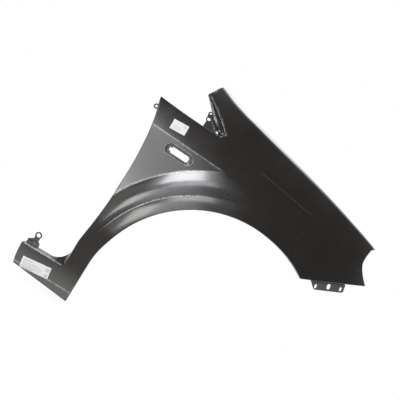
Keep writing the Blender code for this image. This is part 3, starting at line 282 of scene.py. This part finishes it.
def flare_bulge(x, z):
    """How far the two steps of the wheel flare stand out of the body side."""
    radius = math.hypot(x, z)
    angle = math.atan2(x, z)
    soft = lerp(FLARE_SHARP, FLARE_SOFT, smoothstep(FLARE_END_ANGLE, FLARE_SOFT_ANGLE, angle))
    crease = FLARE_RADIUS - FLARE_TAPER * max(0.0, FLARE_END_ANGLE - angle)
    past_lip = ramp(LIP_RADIUS - radius, soft * LIP_SOFT)
    run = ramp(crease - radius, soft) - past_lip
    rise = min(run / (FLARE_RISE * (crease - LIP_RADIUS)), FLARE_MOST_RISE)
    lip = min(past_lip / LIP_WIDTH, LIP_MOST_RISE)
    bulge = FLARE_HEIGHT * (1 - (1 - rise) ** 2) + LIP_HEIGHT * (1 - (1 - lip) ** 2)
    front = (1 - FLARE_FRONT_SHARE) * smoothstep(FLARE_FRONT_START, FLARE_FRONT_END, angle)
    return bulge * smoothstep(FLARE_FADE_START, FLARE_FADE_END, angle) * (1 - front)


def pocket_sink(x, z):
    """Depth of the recess round the side lamp hole."""
    half = (POCKET_LENGTH - POCKET_HEIGHT) / 2
    along = max(abs(x - POCKET_PLACE[0]) - half, 0.0)
    inside = POCKET_HEIGHT / 2 - math.hypot(along, z - POCKET_PLACE[1])
    if inside <= 0:
        return 0.0
    first = min(inside / POCKET_WALL, 1.0)
    second = min(max(inside - POCKET_STEP, 0.0) / (POCKET_WALL / 2), 1.0)
    return POCKET_DEPTH * (POCKET_SHARES[0] * first + POCKET_SHARES[1] * second)


def upper_creases(x, z):
    """The two faint lines above the shoulder: the belt line run on, and the line to the headlamp."""
    belt = BELT_CREASE_TILT * ramp(z - NOTCH[1] + BELT_CREASE_DROP, BELT_CREASE_SOFT)
    belt *= 1 - smoothstep(NOTCH[0], BELT_CREASE_END, x)
    (rear, rear_z), (front, front_z) = NOSE_CREASE
    above = z - lerp(rear_z, front_z, (x - rear) / (front - rear))
    begun, ended = (smoothstep(place + low, place + high, x)
                    for place, (low, high) in ((rear, NOSE_CREASE_BEGINS), (front, NOSE_CREASE_ENDS)))
    sharp, soft = (ramp(above, width) for width in NOSE_CREASE_WIDTHS)
    return belt + begun * (1 - ended) * NOSE_CREASE_TILT * (sharp - soft)


def skin_depth(x, z):
    """Y of the outer surface, from the wheel centre."""
    y = BODY_INSET + (z - CROWN_HEIGHT) ** 2 / (2 * CROWN_RADIUS)
    behind = min(0.0, x - NOSE_START)
    y += behind * behind / (2 * PLAN_RADIUS)
    ahead = max(0.0, x - NOSE_START) / NOSE_LENGTH
    y += NOSE_WRAP * ahead ** NOSE_POWER
    above = z - SHOULDER_HEIGHT + SHOULDER_FALL * (x - SHOULDER_START_X)
    tilt = lerp(SHOULDER_TILT, NOSE_TILT, smoothstep(*TILT_CHANGE, x))
    fade = smoothstep(CREASE_END - CREASE_LEAD, CREASE_END + CREASE_FADE, x)
    y += tilt * ramp(above, lerp(CREASE_SHARP, CREASE_SOFT, fade))
    y += max(0.0, above) ** 2 / (2 * SHOULDER_RADIUS)
    y += SILL_TILT * ramp(SILL_HEIGHT + SILL_FALL * (x + ARCH_RADIUS) - z, SILL_SOFT)
    y += upper_creases(x, z)
    return y - flare_bulge(x, z) + pocket_sink(x, z)


def through(points, x):
    """Height at x of the smooth line through a few points that go forward."""
    for k in range(len(points) - 1):
        if x <= points[k + 1][0] or k == len(points) - 2:
            break
    (x1, z1), (x2, z2) = points[k], points[k + 1]
    x0, z0 = points[k - 1] if k > 0 else (2 * x1 - x2, 2 * z1 - z2)
    x3, z3 = points[k + 2] if k + 2 < len(points) else (2 * x2 - x1, 2 * z2 - z1)
    span = x2 - x1
    t = (x - x1) / span
    m1 = (z2 - z0) / (x2 - x0) * span
    m2 = (z3 - z1) / (x3 - x1) * span
    return ((2 * t**3 - 3 * t**2 + 1) * z1 + (t**3 - 2 * t**2 + t) * m1
            + (3 * t**2 - 2 * t**3) * z2 + (t**3 - t**2) * m2)


def roll_radius(x):
    """Radius of the roll to the bonnet edge, which grows narrower towards the front."""
    return lerp(ROLL_RADIUS_REAR, ROLL_RADIUS_FRONT, smoothstep(HORN_CORNER_X, HEADLAMP_TIP_X, x))


def surface_tilt(x, z):
    """Angle from upright of the section through the skin at x, leaning inboard."""
    step = 0.002
    return math.atan2(skin_depth(x, z) - skin_depth(x, z - step), step)


def roll_start(x):
    """Height where the roll to the bonnet edge starts, found in a few rounds from a first guess."""
    radius = roll_radius(x)
    top = through(BONNET_EDGE, x) - LAND * math.cos(ROLL_END_ANGLE)
    height = top - radius / 2
    for _ in range(ROLL_ROUNDS):
        height = top - radius * (math.sin(ROLL_END_ANGLE) - math.sin(surface_tilt(x, height)))
    return height


def roll_lean(x):
    """How much the roll runs forward as it rises, so that its ends follow the horn and the lamp."""
    at_horn = smoothstep(HORN_LEAN_START, HORN_CORNER_X, x)
    at_lamp = smoothstep(LAMP_LEAN_START, HEADLAMP_TIP_X, x)
    return HORN_LEAN * at_horn + LAMP_LEAN * at_lamp


def skin_normal(x, z):
    """Unit normal of the body surface below the roll, pointing out of the car."""
    step = 0.0005
    slope_x = (skin_depth(x + step, z) - skin_depth(x - step, z)) / (2 * step)
    slope_z = (skin_depth(x, z + step) - skin_depth(x, z - step)) / (2 * step)
    return Vector((slope_x, -1.0, slope_z)).normalized()


def roll_place(u, turn):
    """Point of the roll to the bonnet edge, by the section it belongs to and the angle turned there."""
    start = roll_start(u)
    radius, tilt = roll_radius(u), surface_tilt(u, start)
    z = start + radius * (math.sin(turn) - math.sin(tilt))
    y = skin_depth(u, start) + radius * (math.cos(tilt) - math.cos(turn))
    return Vector((u + roll_lean(u) * (z - start), y, z))


def roll_normal(u, turn):
    """Unit normal of the roll, from two short steps over it."""
    step, turn_step = 0.001, 0.02
    across = roll_place(u + step, turn) - roll_place(u - step, turn)
    upwards = roll_place(u, turn + turn_step) - roll_place(u, turn - turn_step)
    return across.cross(upwards).normalized()


def below_roll(x, z):
    return z < ROLL_LOWEST or z <= roll_start(x)


def laid_on_body(spot):
    """Point of the outer surface close to a given one, and the section and turn if it is on the roll."""
    x, y, z = spot
    if below_roll(x, z):
        return Vector((x, skin_depth(x, z), z)), None
    u = x
    for _ in range(ROLL_ROUNDS + 1):
        u = x - roll_lean(u) * max(0.0, z - roll_start(u))
    start = roll_start(u)
    if z <= start:
        return Vector((x, skin_depth(x, z), z)), None
    radius, tilt = roll_radius(u), surface_tilt(u, start)
    centre_y = skin_depth(u, start) + radius * math.cos(tilt)
    centre_z = start - radius * math.sin(tilt)
    turn = math.atan2(z - centre_z, centre_y - y)
    if turn > ROLL_END_ANGLE + ROLL_SLACK:
        return None, None
    turn = min(turn, ROLL_END_ANGLE)
    return roll_place(u, turn), (u, turn)


# What body_under() has found, by the point asked for
found_on_body = {}


def body_under(co):
    """Place on the body surface close to a point of the panel, the normal there and the way to it."""
    key = co.to_tuple(KEY_DIGITS)
    if key not in found_on_body:
        place, on_roll = laid_on_body(co - WHEEL_CENTRE)
        way = math.inf if place is None else (place + WHEEL_CENTRE - co).length
        if way > SKIN_SAG:
            found_on_body[key] = (None, None, math.inf)
        else:
            normal = roll_normal(*on_roll) if on_roll else skin_normal(place.x, place.z)
            found_on_body[key] = (place + WHEEL_CENTRE, normal, way)
    return found_on_body[key]


def on_outer_skin(co):
    return body_under(co)[2] < SKIN_MATCH


def vertex_places(builder):
    return {v.co.to_tuple(KEY_DIGITS) for v in builder.verts}


def lay_new(builder, old):
    """Puts the vertices that a cut has added on the body surface, where they are close to it."""
    for v in builder.verts:
        if v.co.to_tuple(KEY_DIGITS) not in old:
            place, _, way = body_under(v.co)
            if way < SKIN_SAG:
                v.co = place
    bmesh.ops.triangulate(builder, faces=[f for f in builder.faces if len(f.verts) > 3])


def split_creases(builder):
    """Halves the edges across which the body surface turns, so that a crease stays a narrow line."""
    found = {v: body_under(v.co)[1] for v in builder.verts if on_outer_skin(v.co)}
    edges = [e for e in builder.edges
             if e.verts[0] in found and e.verts[1] in found and e.calc_length() > CREASE_STEP
             and found[e.verts[0]].angle(found[e.verts[1]]) > CREASE_TURN]
    old = vertex_places(builder)
    bmesh.ops.subdivide_edges(builder, edges=edges, cuts=1)
    lay_new(builder, old)


def crease_highlight_at(x, z):
    """Strength of the painted highlight here, by how sharply the body surface turns: from 0 on smooth skin to 1
    on a crease.
    """
    if pocket_sink(x, z) > 0:
        return 0.0
    reach, slant = HIGHLIGHT_REACH, HIGHLIGHT_REACH * DIAGONAL
    turn = max(skin_normal(x - dx, z - dz).angle(skin_normal(x + dx, z + dz))
               for dx, dz in ((reach, 0.0), (0.0, reach), (slant, slant), (slant, -slant)))
    highlight_share = smoothstep(*HIGHLIGHT_TURN, turn)
    if math.hypot(x, z) < FLARE_RADIUS + LAND and z > SILL_HEIGHT:
        low, low_full, high_full, high = FLARE_HIGHLIGHT
        angle = math.atan2(x, z)
        highlight_share *= smoothstep(low, low_full, angle) * (1 - smoothstep(high_full, high, angle))
    return highlight_share


def add_web(builder):
    """The small web at the end of the channel."""
    lowest = min(z for x, z in WEB_OUTLINE)
    rings = []
    for back in (0.0, WEB_THICKNESS):
        spots = [Vector((x, WEB_DEPTH + back + WEB_SLOPE * (z - lowest), z)) for x, z in WEB_OUTLINE]
        rings.append([builder.verts.new(WHEEL_CENTRE + spot) for spot in spots])
    front, rear = rings
    builder.faces.new(front)
    builder.faces.new(rear[::-1])
    for k in range(len(front)):
        builder.faces.new((front[k - 1], rear[k - 1], rear[k], front[k]))


def cut_finer(node):
    """The pressed panel's mesh, its outer faces cut smaller and laid on the body surface, and their numbers."""
    builder = bmesh.new()
    builder.from_mesh(node.data)
    bmesh.ops.remove_doubles(builder, verts=builder.verts, dist=WELD)
    outer = {v for v in builder.verts if on_outer_skin(v.co)}
    packed = vertex_places(builder)
    edges = [e for e in builder.edges if e.verts[0] in outer and e.verts[1] in outer
             and e.calc_length() > SPLIT_LENGTH]
    bmesh.ops.subdivide_edges(builder, edges=edges, cuts=SKIN_CUTS, use_grid_fill=True)
    lay_new(builder, packed)
    for _ in range(CREASE_PASSES):
        split_creases(builder)
    add_web(builder)
    outer = {v for v in builder.verts if on_outer_skin(v.co)}
    builder.faces.index_update()
    outer_faces = {f.index for f in builder.faces if all(v in outer for v in f.verts)
                   and (f.normal.y < INNER_FACE_Y or f.normal.z > UPPER_FACE_Z)}
    mesh = bpy.data.meshes.new("pressed_panel")
    builder.to_mesh(mesh)
    builder.free()
    return mesh, outer_faces


def set_body_normals(mesh, outer_faces):
    """Shades the outer faces by the body surface and the rest by itself. Returns the outer vertices."""
    by_itself = Vector((0, 0, 0))
    normals = [by_itself] * len(mesh.loops)
    outer = {}
    for face in mesh.polygons:
        if face.index not in outer_faces:
            continue
        for loop in face.loop_indices:
            index = mesh.loops[loop].vertex_index
            if index not in outer:
                normal = body_under(mesh.vertices[index].co)[1]
                outer[index] = by_itself if normal is None else normal
            normals[loop] = outer[index]
    mesh.normals_split_custom_set(normals)
    return set(outer)


def mark_crease_highlights(mesh, outer):
    """Writes the strength of the painted highlight on each fold to a point attribute."""
    crease_highlight = mesh.attributes.new("crease_highlight", "FLOAT", "POINT")
    for index in outer:
        x, _, z = mesh.vertices[index].co - WHEEL_CENTRE
        if below_roll(x, z):
            crease_highlight.data[index].value = crease_highlight_at(x, z)
    # The channel's sharp edges get a painted highlight
    channel_low, channel_front = CHANNEL_LINE
    sharp = mesh.attributes["sharp_edge"]
    for edge in mesh.edges:
        if not sharp.data[edge.index].value or not outer.issuperset(edge.vertices):
            continue
        first, second = (mesh.vertices[index].co for index in edge.vertices)
        x, _, z = (first + second) / 2 - WHEEL_CENTRE
        if channel_low < z < roll_start(x) and x < channel_front:
            for index in edge.vertices:
                crease_highlight.data[index].value = CHANNEL_HIGHLIGHT


def build_panel(node):
    """A finer copy of the pressed panel."""
    mesh, outer_faces = cut_finer(node)
    mesh.shade_smooth()
    mesh.set_sharp_from_angle(angle=SHARP_FOLD)
    mark_crease_highlights(mesh, set_body_normals(mesh, outer_faces))
    panel = bpy.data.objects.new("pressed_panel", mesh)
    bpy.context.scene.collection.objects.link(panel)
    return panel


# Shader node groups, shared by the materials

def new_group(name, inputs, outputs):
    """A shader node group with the sockets named, and its two end nodes."""
    group = bpy.data.node_groups.new(name, "ShaderNodeTree")
    for label, kind, value in inputs:
        socket = group.interface.new_socket(label, in_out="INPUT", socket_type=kind)
        if value is not None:
            socket.default_value = value
    for label, kind in outputs:
        group.interface.new_socket(label, in_out="OUTPUT", socket_type=kind)
    return group, group.nodes.new("NodeGroupInput"), group.nodes.new("NodeGroupOutput")


def add_noise(tree, vector, scale, detail):
    noise = tree.nodes.new("ShaderNodeTexNoise")
    noise.inputs["Scale"].default_value = scale
    noise.inputs["Detail"].default_value = detail
    noise.inputs["Roughness"].default_value = NOISE_ROUGHNESS
    tree.links.new(vector, noise.inputs["Vector"])
    return noise.outputs["Fac"]


def add_range(tree, value, low, high, to_low=0.0, to_high=1.0):
    node = tree.nodes.new("ShaderNodeMapRange")
    node.inputs["From Min"].default_value = low
    node.inputs["From Max"].default_value = high
    node.inputs["To Min"].default_value = to_low
    node.inputs["To Max"].default_value = to_high
    tree.links.new(value, node.inputs["Value"])
    return node.outputs["Result"]


def add_math(tree, operation, first, second):
    node = tree.nodes.new("ShaderNodeMath")
    node.operation = operation
    for socket, value in zip(node.inputs, (first, second)):
        if isinstance(value, (int, float)):
            socket.default_value = value
        else:
            tree.links.new(value, socket)
    return node.outputs[0]


def coat_group():
    """Dip coat over pressed steel: orange peel, thin dust, painted highlights along the folds and slow waves in
    the sheet.
    """
    group, start, end = new_group(
        "dip_coat",
        [("Vector", "NodeSocketVector", None), ("Fold", "NodeSocketFloat", 0.0),
         ("Roughness", "NodeSocketFloat", None)],
        [("Dust", "NodeSocketFloat"), ("Crease Highlight", "NodeSocketFloat"), ("Roughness", "NodeSocketFloat"),
         ("Height", "NodeSocketFloat")])
    vector = start.outputs["Vector"]
    peel = add_noise(group, vector, PEEL_SCALE, 2.0)
    wave = add_noise(group, vector, WAVE_SCALE, 1.0)
    cloud = add_noise(group, vector, DUST_CLOUDS, 3.0)
    specks = add_range(group, add_noise(group, vector, DUST_SPECKS, 1.0), *DUST_SPECK_RANGE)
    highlight_share = add_range(group, add_noise(group, vector, HIGHLIGHT_NOISE_SCALE, 4.0), *HIGHLIGHT_NOISE_RANGE)
    dust = add_math(group, "ADD", add_range(group, cloud, *DUST_CLOUD_RANGE, 0.0, DUST_HALF),
                    add_math(group, "MULTIPLY", specks, DUST_HALF))
    # Painted highlight along the folds, broken up by noise
    highlight = add_math(group, "MULTIPLY", highlight_share, start.outputs["Fold"])
    rough = add_math(group, "ADD", start.outputs["Roughness"], add_range(group, cloud, *CLOUD_ROUGHNESS))
    rough = add_math(group, "ADD", rough, add_math(group, "MULTIPLY", highlight, HIGHLIGHT_ROUGHNESS))
    height = add_math(group, "ADD", add_math(group, "MULTIPLY", peel, PEEL_SHARE),
                      add_math(group, "MULTIPLY", wave, 1.0 - PEEL_SHARE))
    for label, value in (("Dust", dust), ("Crease Highlight", highlight), ("Roughness", rough), ("Height", height)):
        group.links.new(value, end.inputs[label])
    return group


def new_material(name, colour, roughness):
    material = bpy.data.materials.new(name)
    material.use_nodes = True
    shader = material.node_tree.nodes["Principled BSDF"]
    shader.inputs["Base Color"].default_value = (*colour, 1)
    shader.inputs["Roughness"].default_value = roughness
    return material, shader


# The Mix node has sockets for each kind of data: these are its factor, its two colours and its mixed colour
MIX_COLOUR_INPUTS = (0, 6, 7)
MIX_COLOUR_OUTPUT = 2


def add_mix(tree, factor, first, second):
    """Colour first, mixed towards second by a factor. A colour may be a socket or a value."""
    mix = tree.nodes.new("ShaderNodeMix")
    mix.data_type = "RGBA"
    for number, value in zip(MIX_COLOUR_INPUTS, (factor, first, second)):
        if isinstance(value, bpy.types.NodeSocket):
            tree.links.new(value, mix.inputs[number])
        else:
            mix.inputs[number].default_value = value
    return mix.outputs[MIX_COLOUR_OUTPUT]


def dot_with(tree, vector, way):
    dot = tree.nodes.new("ShaderNodeVectorMath")
    dot.operation = "DOT_PRODUCT"
    dot.inputs[1].default_value = way
    tree.links.new(vector, dot.inputs[0])
    return dot.outputs["Value"]


def line_mask(tree, vector, lines):
    """Where straight pressed lines run, soft at both ends, from Object coordinates: the mask of their painted
    highlight.
    """
    mask = None
    for x0, z0, x1, z1, half, strength in lines:
        along = Vector((x1 - x0, 0.0, z1 - z0))
        length = along.length
        along.normalize()
        ways = []
        for way in (along, Vector((-along.z, 0.0, along.x))):
            start = (WHEEL_CENTRE + Vector((x0, 0.0, z0))).dot(way)
            ways.append(add_math(tree, "SUBTRACT", dot_with(tree, vector, way), start))
        run, aside = ways
        line = add_range(tree, add_math(tree, "ABSOLUTE", aside, 0.0), 0.0, half, strength, 0.0)
        line = add_math(tree, "MULTIPLY", line, add_range(tree, run, 0.0, LINE_FADE))
        line = add_math(tree, "MULTIPLY", line, add_range(tree, run, length - LINE_FADE, length, 1.0, 0.0))
        mask = line if mask is None else add_math(tree, "MAXIMUM", mask, line)
    return mask


def coated_material(name, group, colour, roughness, peel, lines=()):
    """Dark dip coat on steel, with painted highlights along the folds and the given lines."""
    material, shader = new_material(name, colour, roughness)
    tree = material.node_tree
    place = tree.nodes.new("ShaderNodeTexCoord")
    crease_highlight = tree.nodes.new("ShaderNodeAttribute")
    crease_highlight.attribute_name = "crease_highlight"
    coat = tree.nodes.new("ShaderNodeGroup")
    coat.node_tree = group
    coat.inputs["Roughness"].default_value = roughness
    tree.links.new(place.outputs["Object"], coat.inputs["Vector"])
    tree.links.new(crease_highlight.outputs["Fac"], coat.inputs["Fold"])
    dust = add_math(tree, "MULTIPLY", coat.outputs["Dust"], DUST_SHARE)
    dusty = add_mix(tree, dust, (*colour, 1), DUST_COLOUR)
    # Lighter colour along the folds and the pressed lines: a painted highlight
    highlight = coat.outputs["Crease Highlight"]
    if lines:
        highlight = add_math(tree, "MAXIMUM", highlight, line_mask(tree, place.outputs["Object"], lines))
    highlighted = add_mix(tree, highlight, dusty, CREASE_HIGHLIGHT_COLOUR)
    tree.links.new(highlighted, shader.inputs["Base Color"])
    tree.links.new(coat.outputs["Roughness"], shader.inputs["Roughness"])
    bump = tree.nodes.new("ShaderNodeBump")
    bump.inputs["Distance"].default_value = peel
    bump.inputs["Strength"].default_value = 1.0
    tree.links.new(coat.outputs["Height"], bump.inputs["Height"])
    tree.links.new(bump.outputs["Normal"], shader.inputs["Normal"])
    shader.inputs["IOR"].default_value = COAT_IOR
    shader.inputs["Coat Weight"].default_value = COAT_GLOSS
    shader.inputs["Coat Roughness"].default_value = COAT_GLOSS_ROUGHNESS
    return material


def extent(spots, way):
    shares = [spot.dot(way) for spot in spots]
    return max(shares) - min(shares)


def label_frame(node):
    """Middle of a label in the side view, its long way, length and width, from its tightest box."""
    spots = [Vector((v.co.x, v.co.z)) for v in node.data.vertices]
    middle = sum(spots, Vector((0, 0))) / len(spots)
    smallest = math.inf
    for degrees in range(180):
        along = Vector((math.cos(math.radians(degrees)), math.sin(math.radians(degrees))))
        length = extent(spots, along)
        width = extent(spots, Vector((-along.y, along.x)))
        if length >= width and length * width < smallest:
            smallest = length * width
            box = (along if along.x > 0 else -along, length, width)
    return middle, *box


def field_mask(tree, vector, middle, along, length, width, rows):
    """Faint plain bars on the paper, one under another, where a label is printed."""
    across = Vector((-along.y, along.x))
    ways = []
    for way, size in ((along, length), (across, width)):
        place = add_math(tree, "SUBTRACT", dot_with(tree, vector, (way.x, 0.0, way.y)), middle.dot(way))
        ways.append(add_math(tree, "DIVIDE", place, size))
    mask = None
    for left, right, low, high in rows:
        bar = None
        for value, start, end in ((ways[0], left, right), (ways[1], low, high)):
            inside = add_math(tree, "COMPARE", value, (start + end) / 2)
            inside.node.inputs[2].default_value = (end - start) / 2
            bar = inside if bar is None else add_math(tree, "MULTIPLY", bar, inside)
        mask = bar if mask is None else add_math(tree, "MAXIMUM", mask, bar)
    return mask


def paper_material(name, node, rows, strength):
    """White label paper with a soft sheen, and faint plain fields in place of print."""
    material, shader = new_material(name, PAPER_COLOUR, PAPER_ROUGHNESS[0])
    tree = material.node_tree
    place = tree.nodes.new("ShaderNodeTexCoord")
    fibre = add_noise(tree, place.outputs["Object"], PAPER_FIBRES, 2.0)
    shaded = add_range(tree, fibre, *PAPER_FIBRE_RANGE, 0.0, PAPER_SHADE_SHARE)
    shade = add_mix(tree, shaded, (*PAPER_COLOUR, 1), PAPER_SHADE)
    mask = field_mask(tree, place.outputs["Object"], *label_frame(node), rows)
    ink = add_math(tree, "MULTIPLY", mask, strength)
    tree.links.new(add_mix(tree, ink, shade, FIELD_COLOUR), shader.inputs["Base Color"])
    rough = add_range(tree, fibre, *PAPER_FIBRE_RANGE, *PAPER_ROUGHNESS)
    tree.links.new(rough, shader.inputs["Roughness"])
    bump = tree.nodes.new("ShaderNodeBump")
    bump.inputs["Distance"].default_value = PAPER_GRAIN
    tree.links.new(fibre, bump.inputs["Height"])
    tree.links.new(bump.outputs["Normal"], shader.inputs["Normal"])
    return material


# Stage

def picture_axes():
    """The ways to the right and up in the picture."""
    right = Vector((math.cos(CAMERA_ROLL), 0.0, math.sin(CAMERA_ROLL)))
    up = Vector((-math.sin(CAMERA_ROLL), 0.0, math.cos(CAMERA_ROLL)))
    return right, up


def add_camera():
    data = bpy.data.cameras.new("camera")
    data.sensor_width = SENSOR
    data.lens = CAMERA_DISTANCE / PIXEL_AT_WHEEL / IMAGE_WIDTH * SENSOR
    camera = bpy.data.objects.new("camera", data)
    bpy.context.scene.collection.objects.link(camera)
    right, up = picture_axes()
    turn = Matrix((right, up, Vector((0, -1, 0)))).transposed().to_4x4()
    place = WHEEL_CENTRE + CAMERA_AIM - Vector((0, CAMERA_DISTANCE, 0))
    camera.matrix_world = Matrix.Translation(place) @ turn
    bpy.context.scene.camera = camera


def add_softbox(name, toward, size, radiance, colour):
    """An area lamp that faces the fender from a direction of picture right, picture up and to the camera."""
    right, up = picture_axes()
    way = (right * toward[0] + up * toward[1] + Vector((0, -1, 0)) * toward[2]).normalized()
    width, height = size[0] * LAMP_DISTANCE, size[1] * LAMP_DISTANCE
    data = bpy.data.lights.new(name, "AREA")
    data.shape = "RECTANGLE"
    data.size, data.size_y = width, height
    data.energy = radiance * math.pi * width * height
    data.color = colour
    lamp = bpy.data.objects.new(name, data)
    bpy.context.scene.collection.objects.link(lamp)
    across = up.cross(way).normalized()
    turn = Matrix((across, way.cross(across), way)).transposed().to_4x4()
    spot = WHEEL_CENTRE + Vector((LAMP_SPOT[0], 0.0, LAMP_SPOT[1]))
    lamp.matrix_world = Matrix.Translation(spot + way * LAMP_DISTANCE) @ turn


def add_world():
    """A dim room before the fender and a white ground behind it, all white to the camera."""
    world = bpy.data.worlds.new("studio")
    bpy.context.scene.world = world
    world.use_nodes = True
    tree = world.node_tree
    place = tree.nodes.new("ShaderNodeTexCoord")
    axes = tree.nodes.new("ShaderNodeSeparateXYZ")
    tree.links.new(place.outputs["Generated"], axes.inputs[0])
    behind = add_range(tree, axes.outputs["Y"], *GROUND_EDGE)
    room = tree.nodes["Background"]
    tree.links.new(add_mix(tree, behind, ROOM_COLOUR, WHITE), room.inputs["Color"])
    white = tree.nodes.new("ShaderNodeBackground")
    white.inputs["Color"].default_value = WHITE
    path = tree.nodes.new("ShaderNodeLightPath")
    mix = tree.nodes.new("ShaderNodeMixShader")
    mirrored = add_math(tree, "MAXIMUM", path.outputs["Is Glossy Ray"], path.outputs["Is Transmission Ray"])
    mirrored = add_math(tree, "MULTIPLY", mirrored, behind)
    tree.links.new(add_math(tree, "MAXIMUM", path.outputs["Is Camera Ray"], mirrored), mix.inputs[0])
    tree.links.new(room.outputs[0], mix.inputs[1])
    tree.links.new(white.outputs[0], mix.inputs[2])
    tree.links.new(mix.outputs[0], tree.nodes["World Output"].inputs["Surface"])


def add_floor():
    """A pale floor just under the fender. To the camera it is lifted to white, and keeps a faint shadow. To
    mirrored rays it glows, brighter close to the fender: painted light.
    """
    spot = (FLOOR_MIDDLE_X, 0.0, cad_box[0].z - FLOOR_GAP)
    bpy.ops.mesh.primitive_plane_add(size=FLOOR_SIZE, location=spot)
    floor = bpy.context.object
    floor.name = "floor"
    material, shader = new_material("pale_floor", (FLOOR_SHADE,) * 3, FLOOR_ROUGHNESS)
    shader.inputs["Specular IOR Level"].default_value = 0.0
    tree = material.node_tree
    place = tree.nodes.new("ShaderNodeTexCoord")
    length = tree.nodes.new("ShaderNodeVectorMath")
    length.operation = "LENGTH"
    tree.links.new(place.outputs["Object"], length.inputs[0])
    edge, middle = (FLOOR_SIZE * share for share in FLOOR_FADE)
    near = add_range(tree, length.outputs["Value"], edge, middle, 0.0, FLOOR_SHADOW)
    path = tree.nodes.new("ShaderNodeLightPath")
    glow = tree.nodes.new("ShaderNodeEmission")
    glow.inputs["Color"].default_value = WHITE
    seen = add_math(tree, "MULTIPLY", path.outputs["Is Camera Ray"], add_math(tree, "SUBTRACT", 1.0, near))
    lift = add_math(tree, "ADD", 1.0, add_math(tree, "MULTIPLY", near, FLOOR_LIFT))
    tree.links.new(lift, glow.inputs["Strength"])
    mix = tree.nodes.new("ShaderNodeMixShader")
    tree.links.new(seen, mix.inputs[0])
    tree.links.new(shader.outputs[0], mix.inputs[1])
    tree.links.new(glow.outputs[0], mix.inputs[2])
    axes = tree.nodes.new("ShaderNodeSeparateXYZ")
    tree.links.new(place.outputs["Object"], axes.inputs[0])
    # Painted glow of the floor, seen only in reflections
    (far, dim), (close, bright) = FLOOR_REFLECTED_GLOW
    painted_glow = tree.nodes.new("ShaderNodeEmission")
    tree.links.new(add_range(tree, axes.outputs["Y"], far, close, dim, bright), painted_glow.inputs["Strength"])
    mirrored = add_math(tree, "MAXIMUM", path.outputs["Is Glossy Ray"], path.outputs["Is Transmission Ray"])
    reflected = tree.nodes.new("ShaderNodeMixShader")
    tree.links.new(mirrored, reflected.inputs[0])
    tree.links.new(mix.outputs[0], reflected.inputs[1])
    tree.links.new(painted_glow.outputs[0], reflected.inputs[2])
    tree.links.new(reflected.outputs[0], tree.nodes["Material Output"].inputs["Surface"])
    floor.data.materials.append(material)


def main():
    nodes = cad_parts
    panel = build_panel(nodes["fender_panel"])
    group = coat_group()
    coat = coated_material("black_e_coat", group, COAT_COLOUR, COAT_ROUGHNESS, COAT_PEEL, HIGHLIGHT_LINES)
    plate = coated_material("bracket_coat", group, BRACKET_COLOUR, BRACKET_ROUGHNESS, BRACKET_PEEL)
    ear = coated_material("ear_coat", group, EAR_COLOUR, BRACKET_ROUGHNESS, BRACKET_PEEL)
    panel.data.materials.append(coat)
    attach(panel, "root")
    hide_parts("fender_panel")
    for name, fields, strength in LABELS:
        nodes[name].data.materials[0] = paper_material(name + "_paper", nodes[name], fields, strength)
    for name, node in nodes.items():
        if name.endswith("bracket"):
            node.data.materials[0] = plate if name == "bumper_bracket" else ear
    add_camera()
    for softbox in SOFTBOXES:
        add_softbox(*softbox)
    add_world()
    add_floor()
    bpy.context.scene.view_settings.view_transform = "Standard"


main()
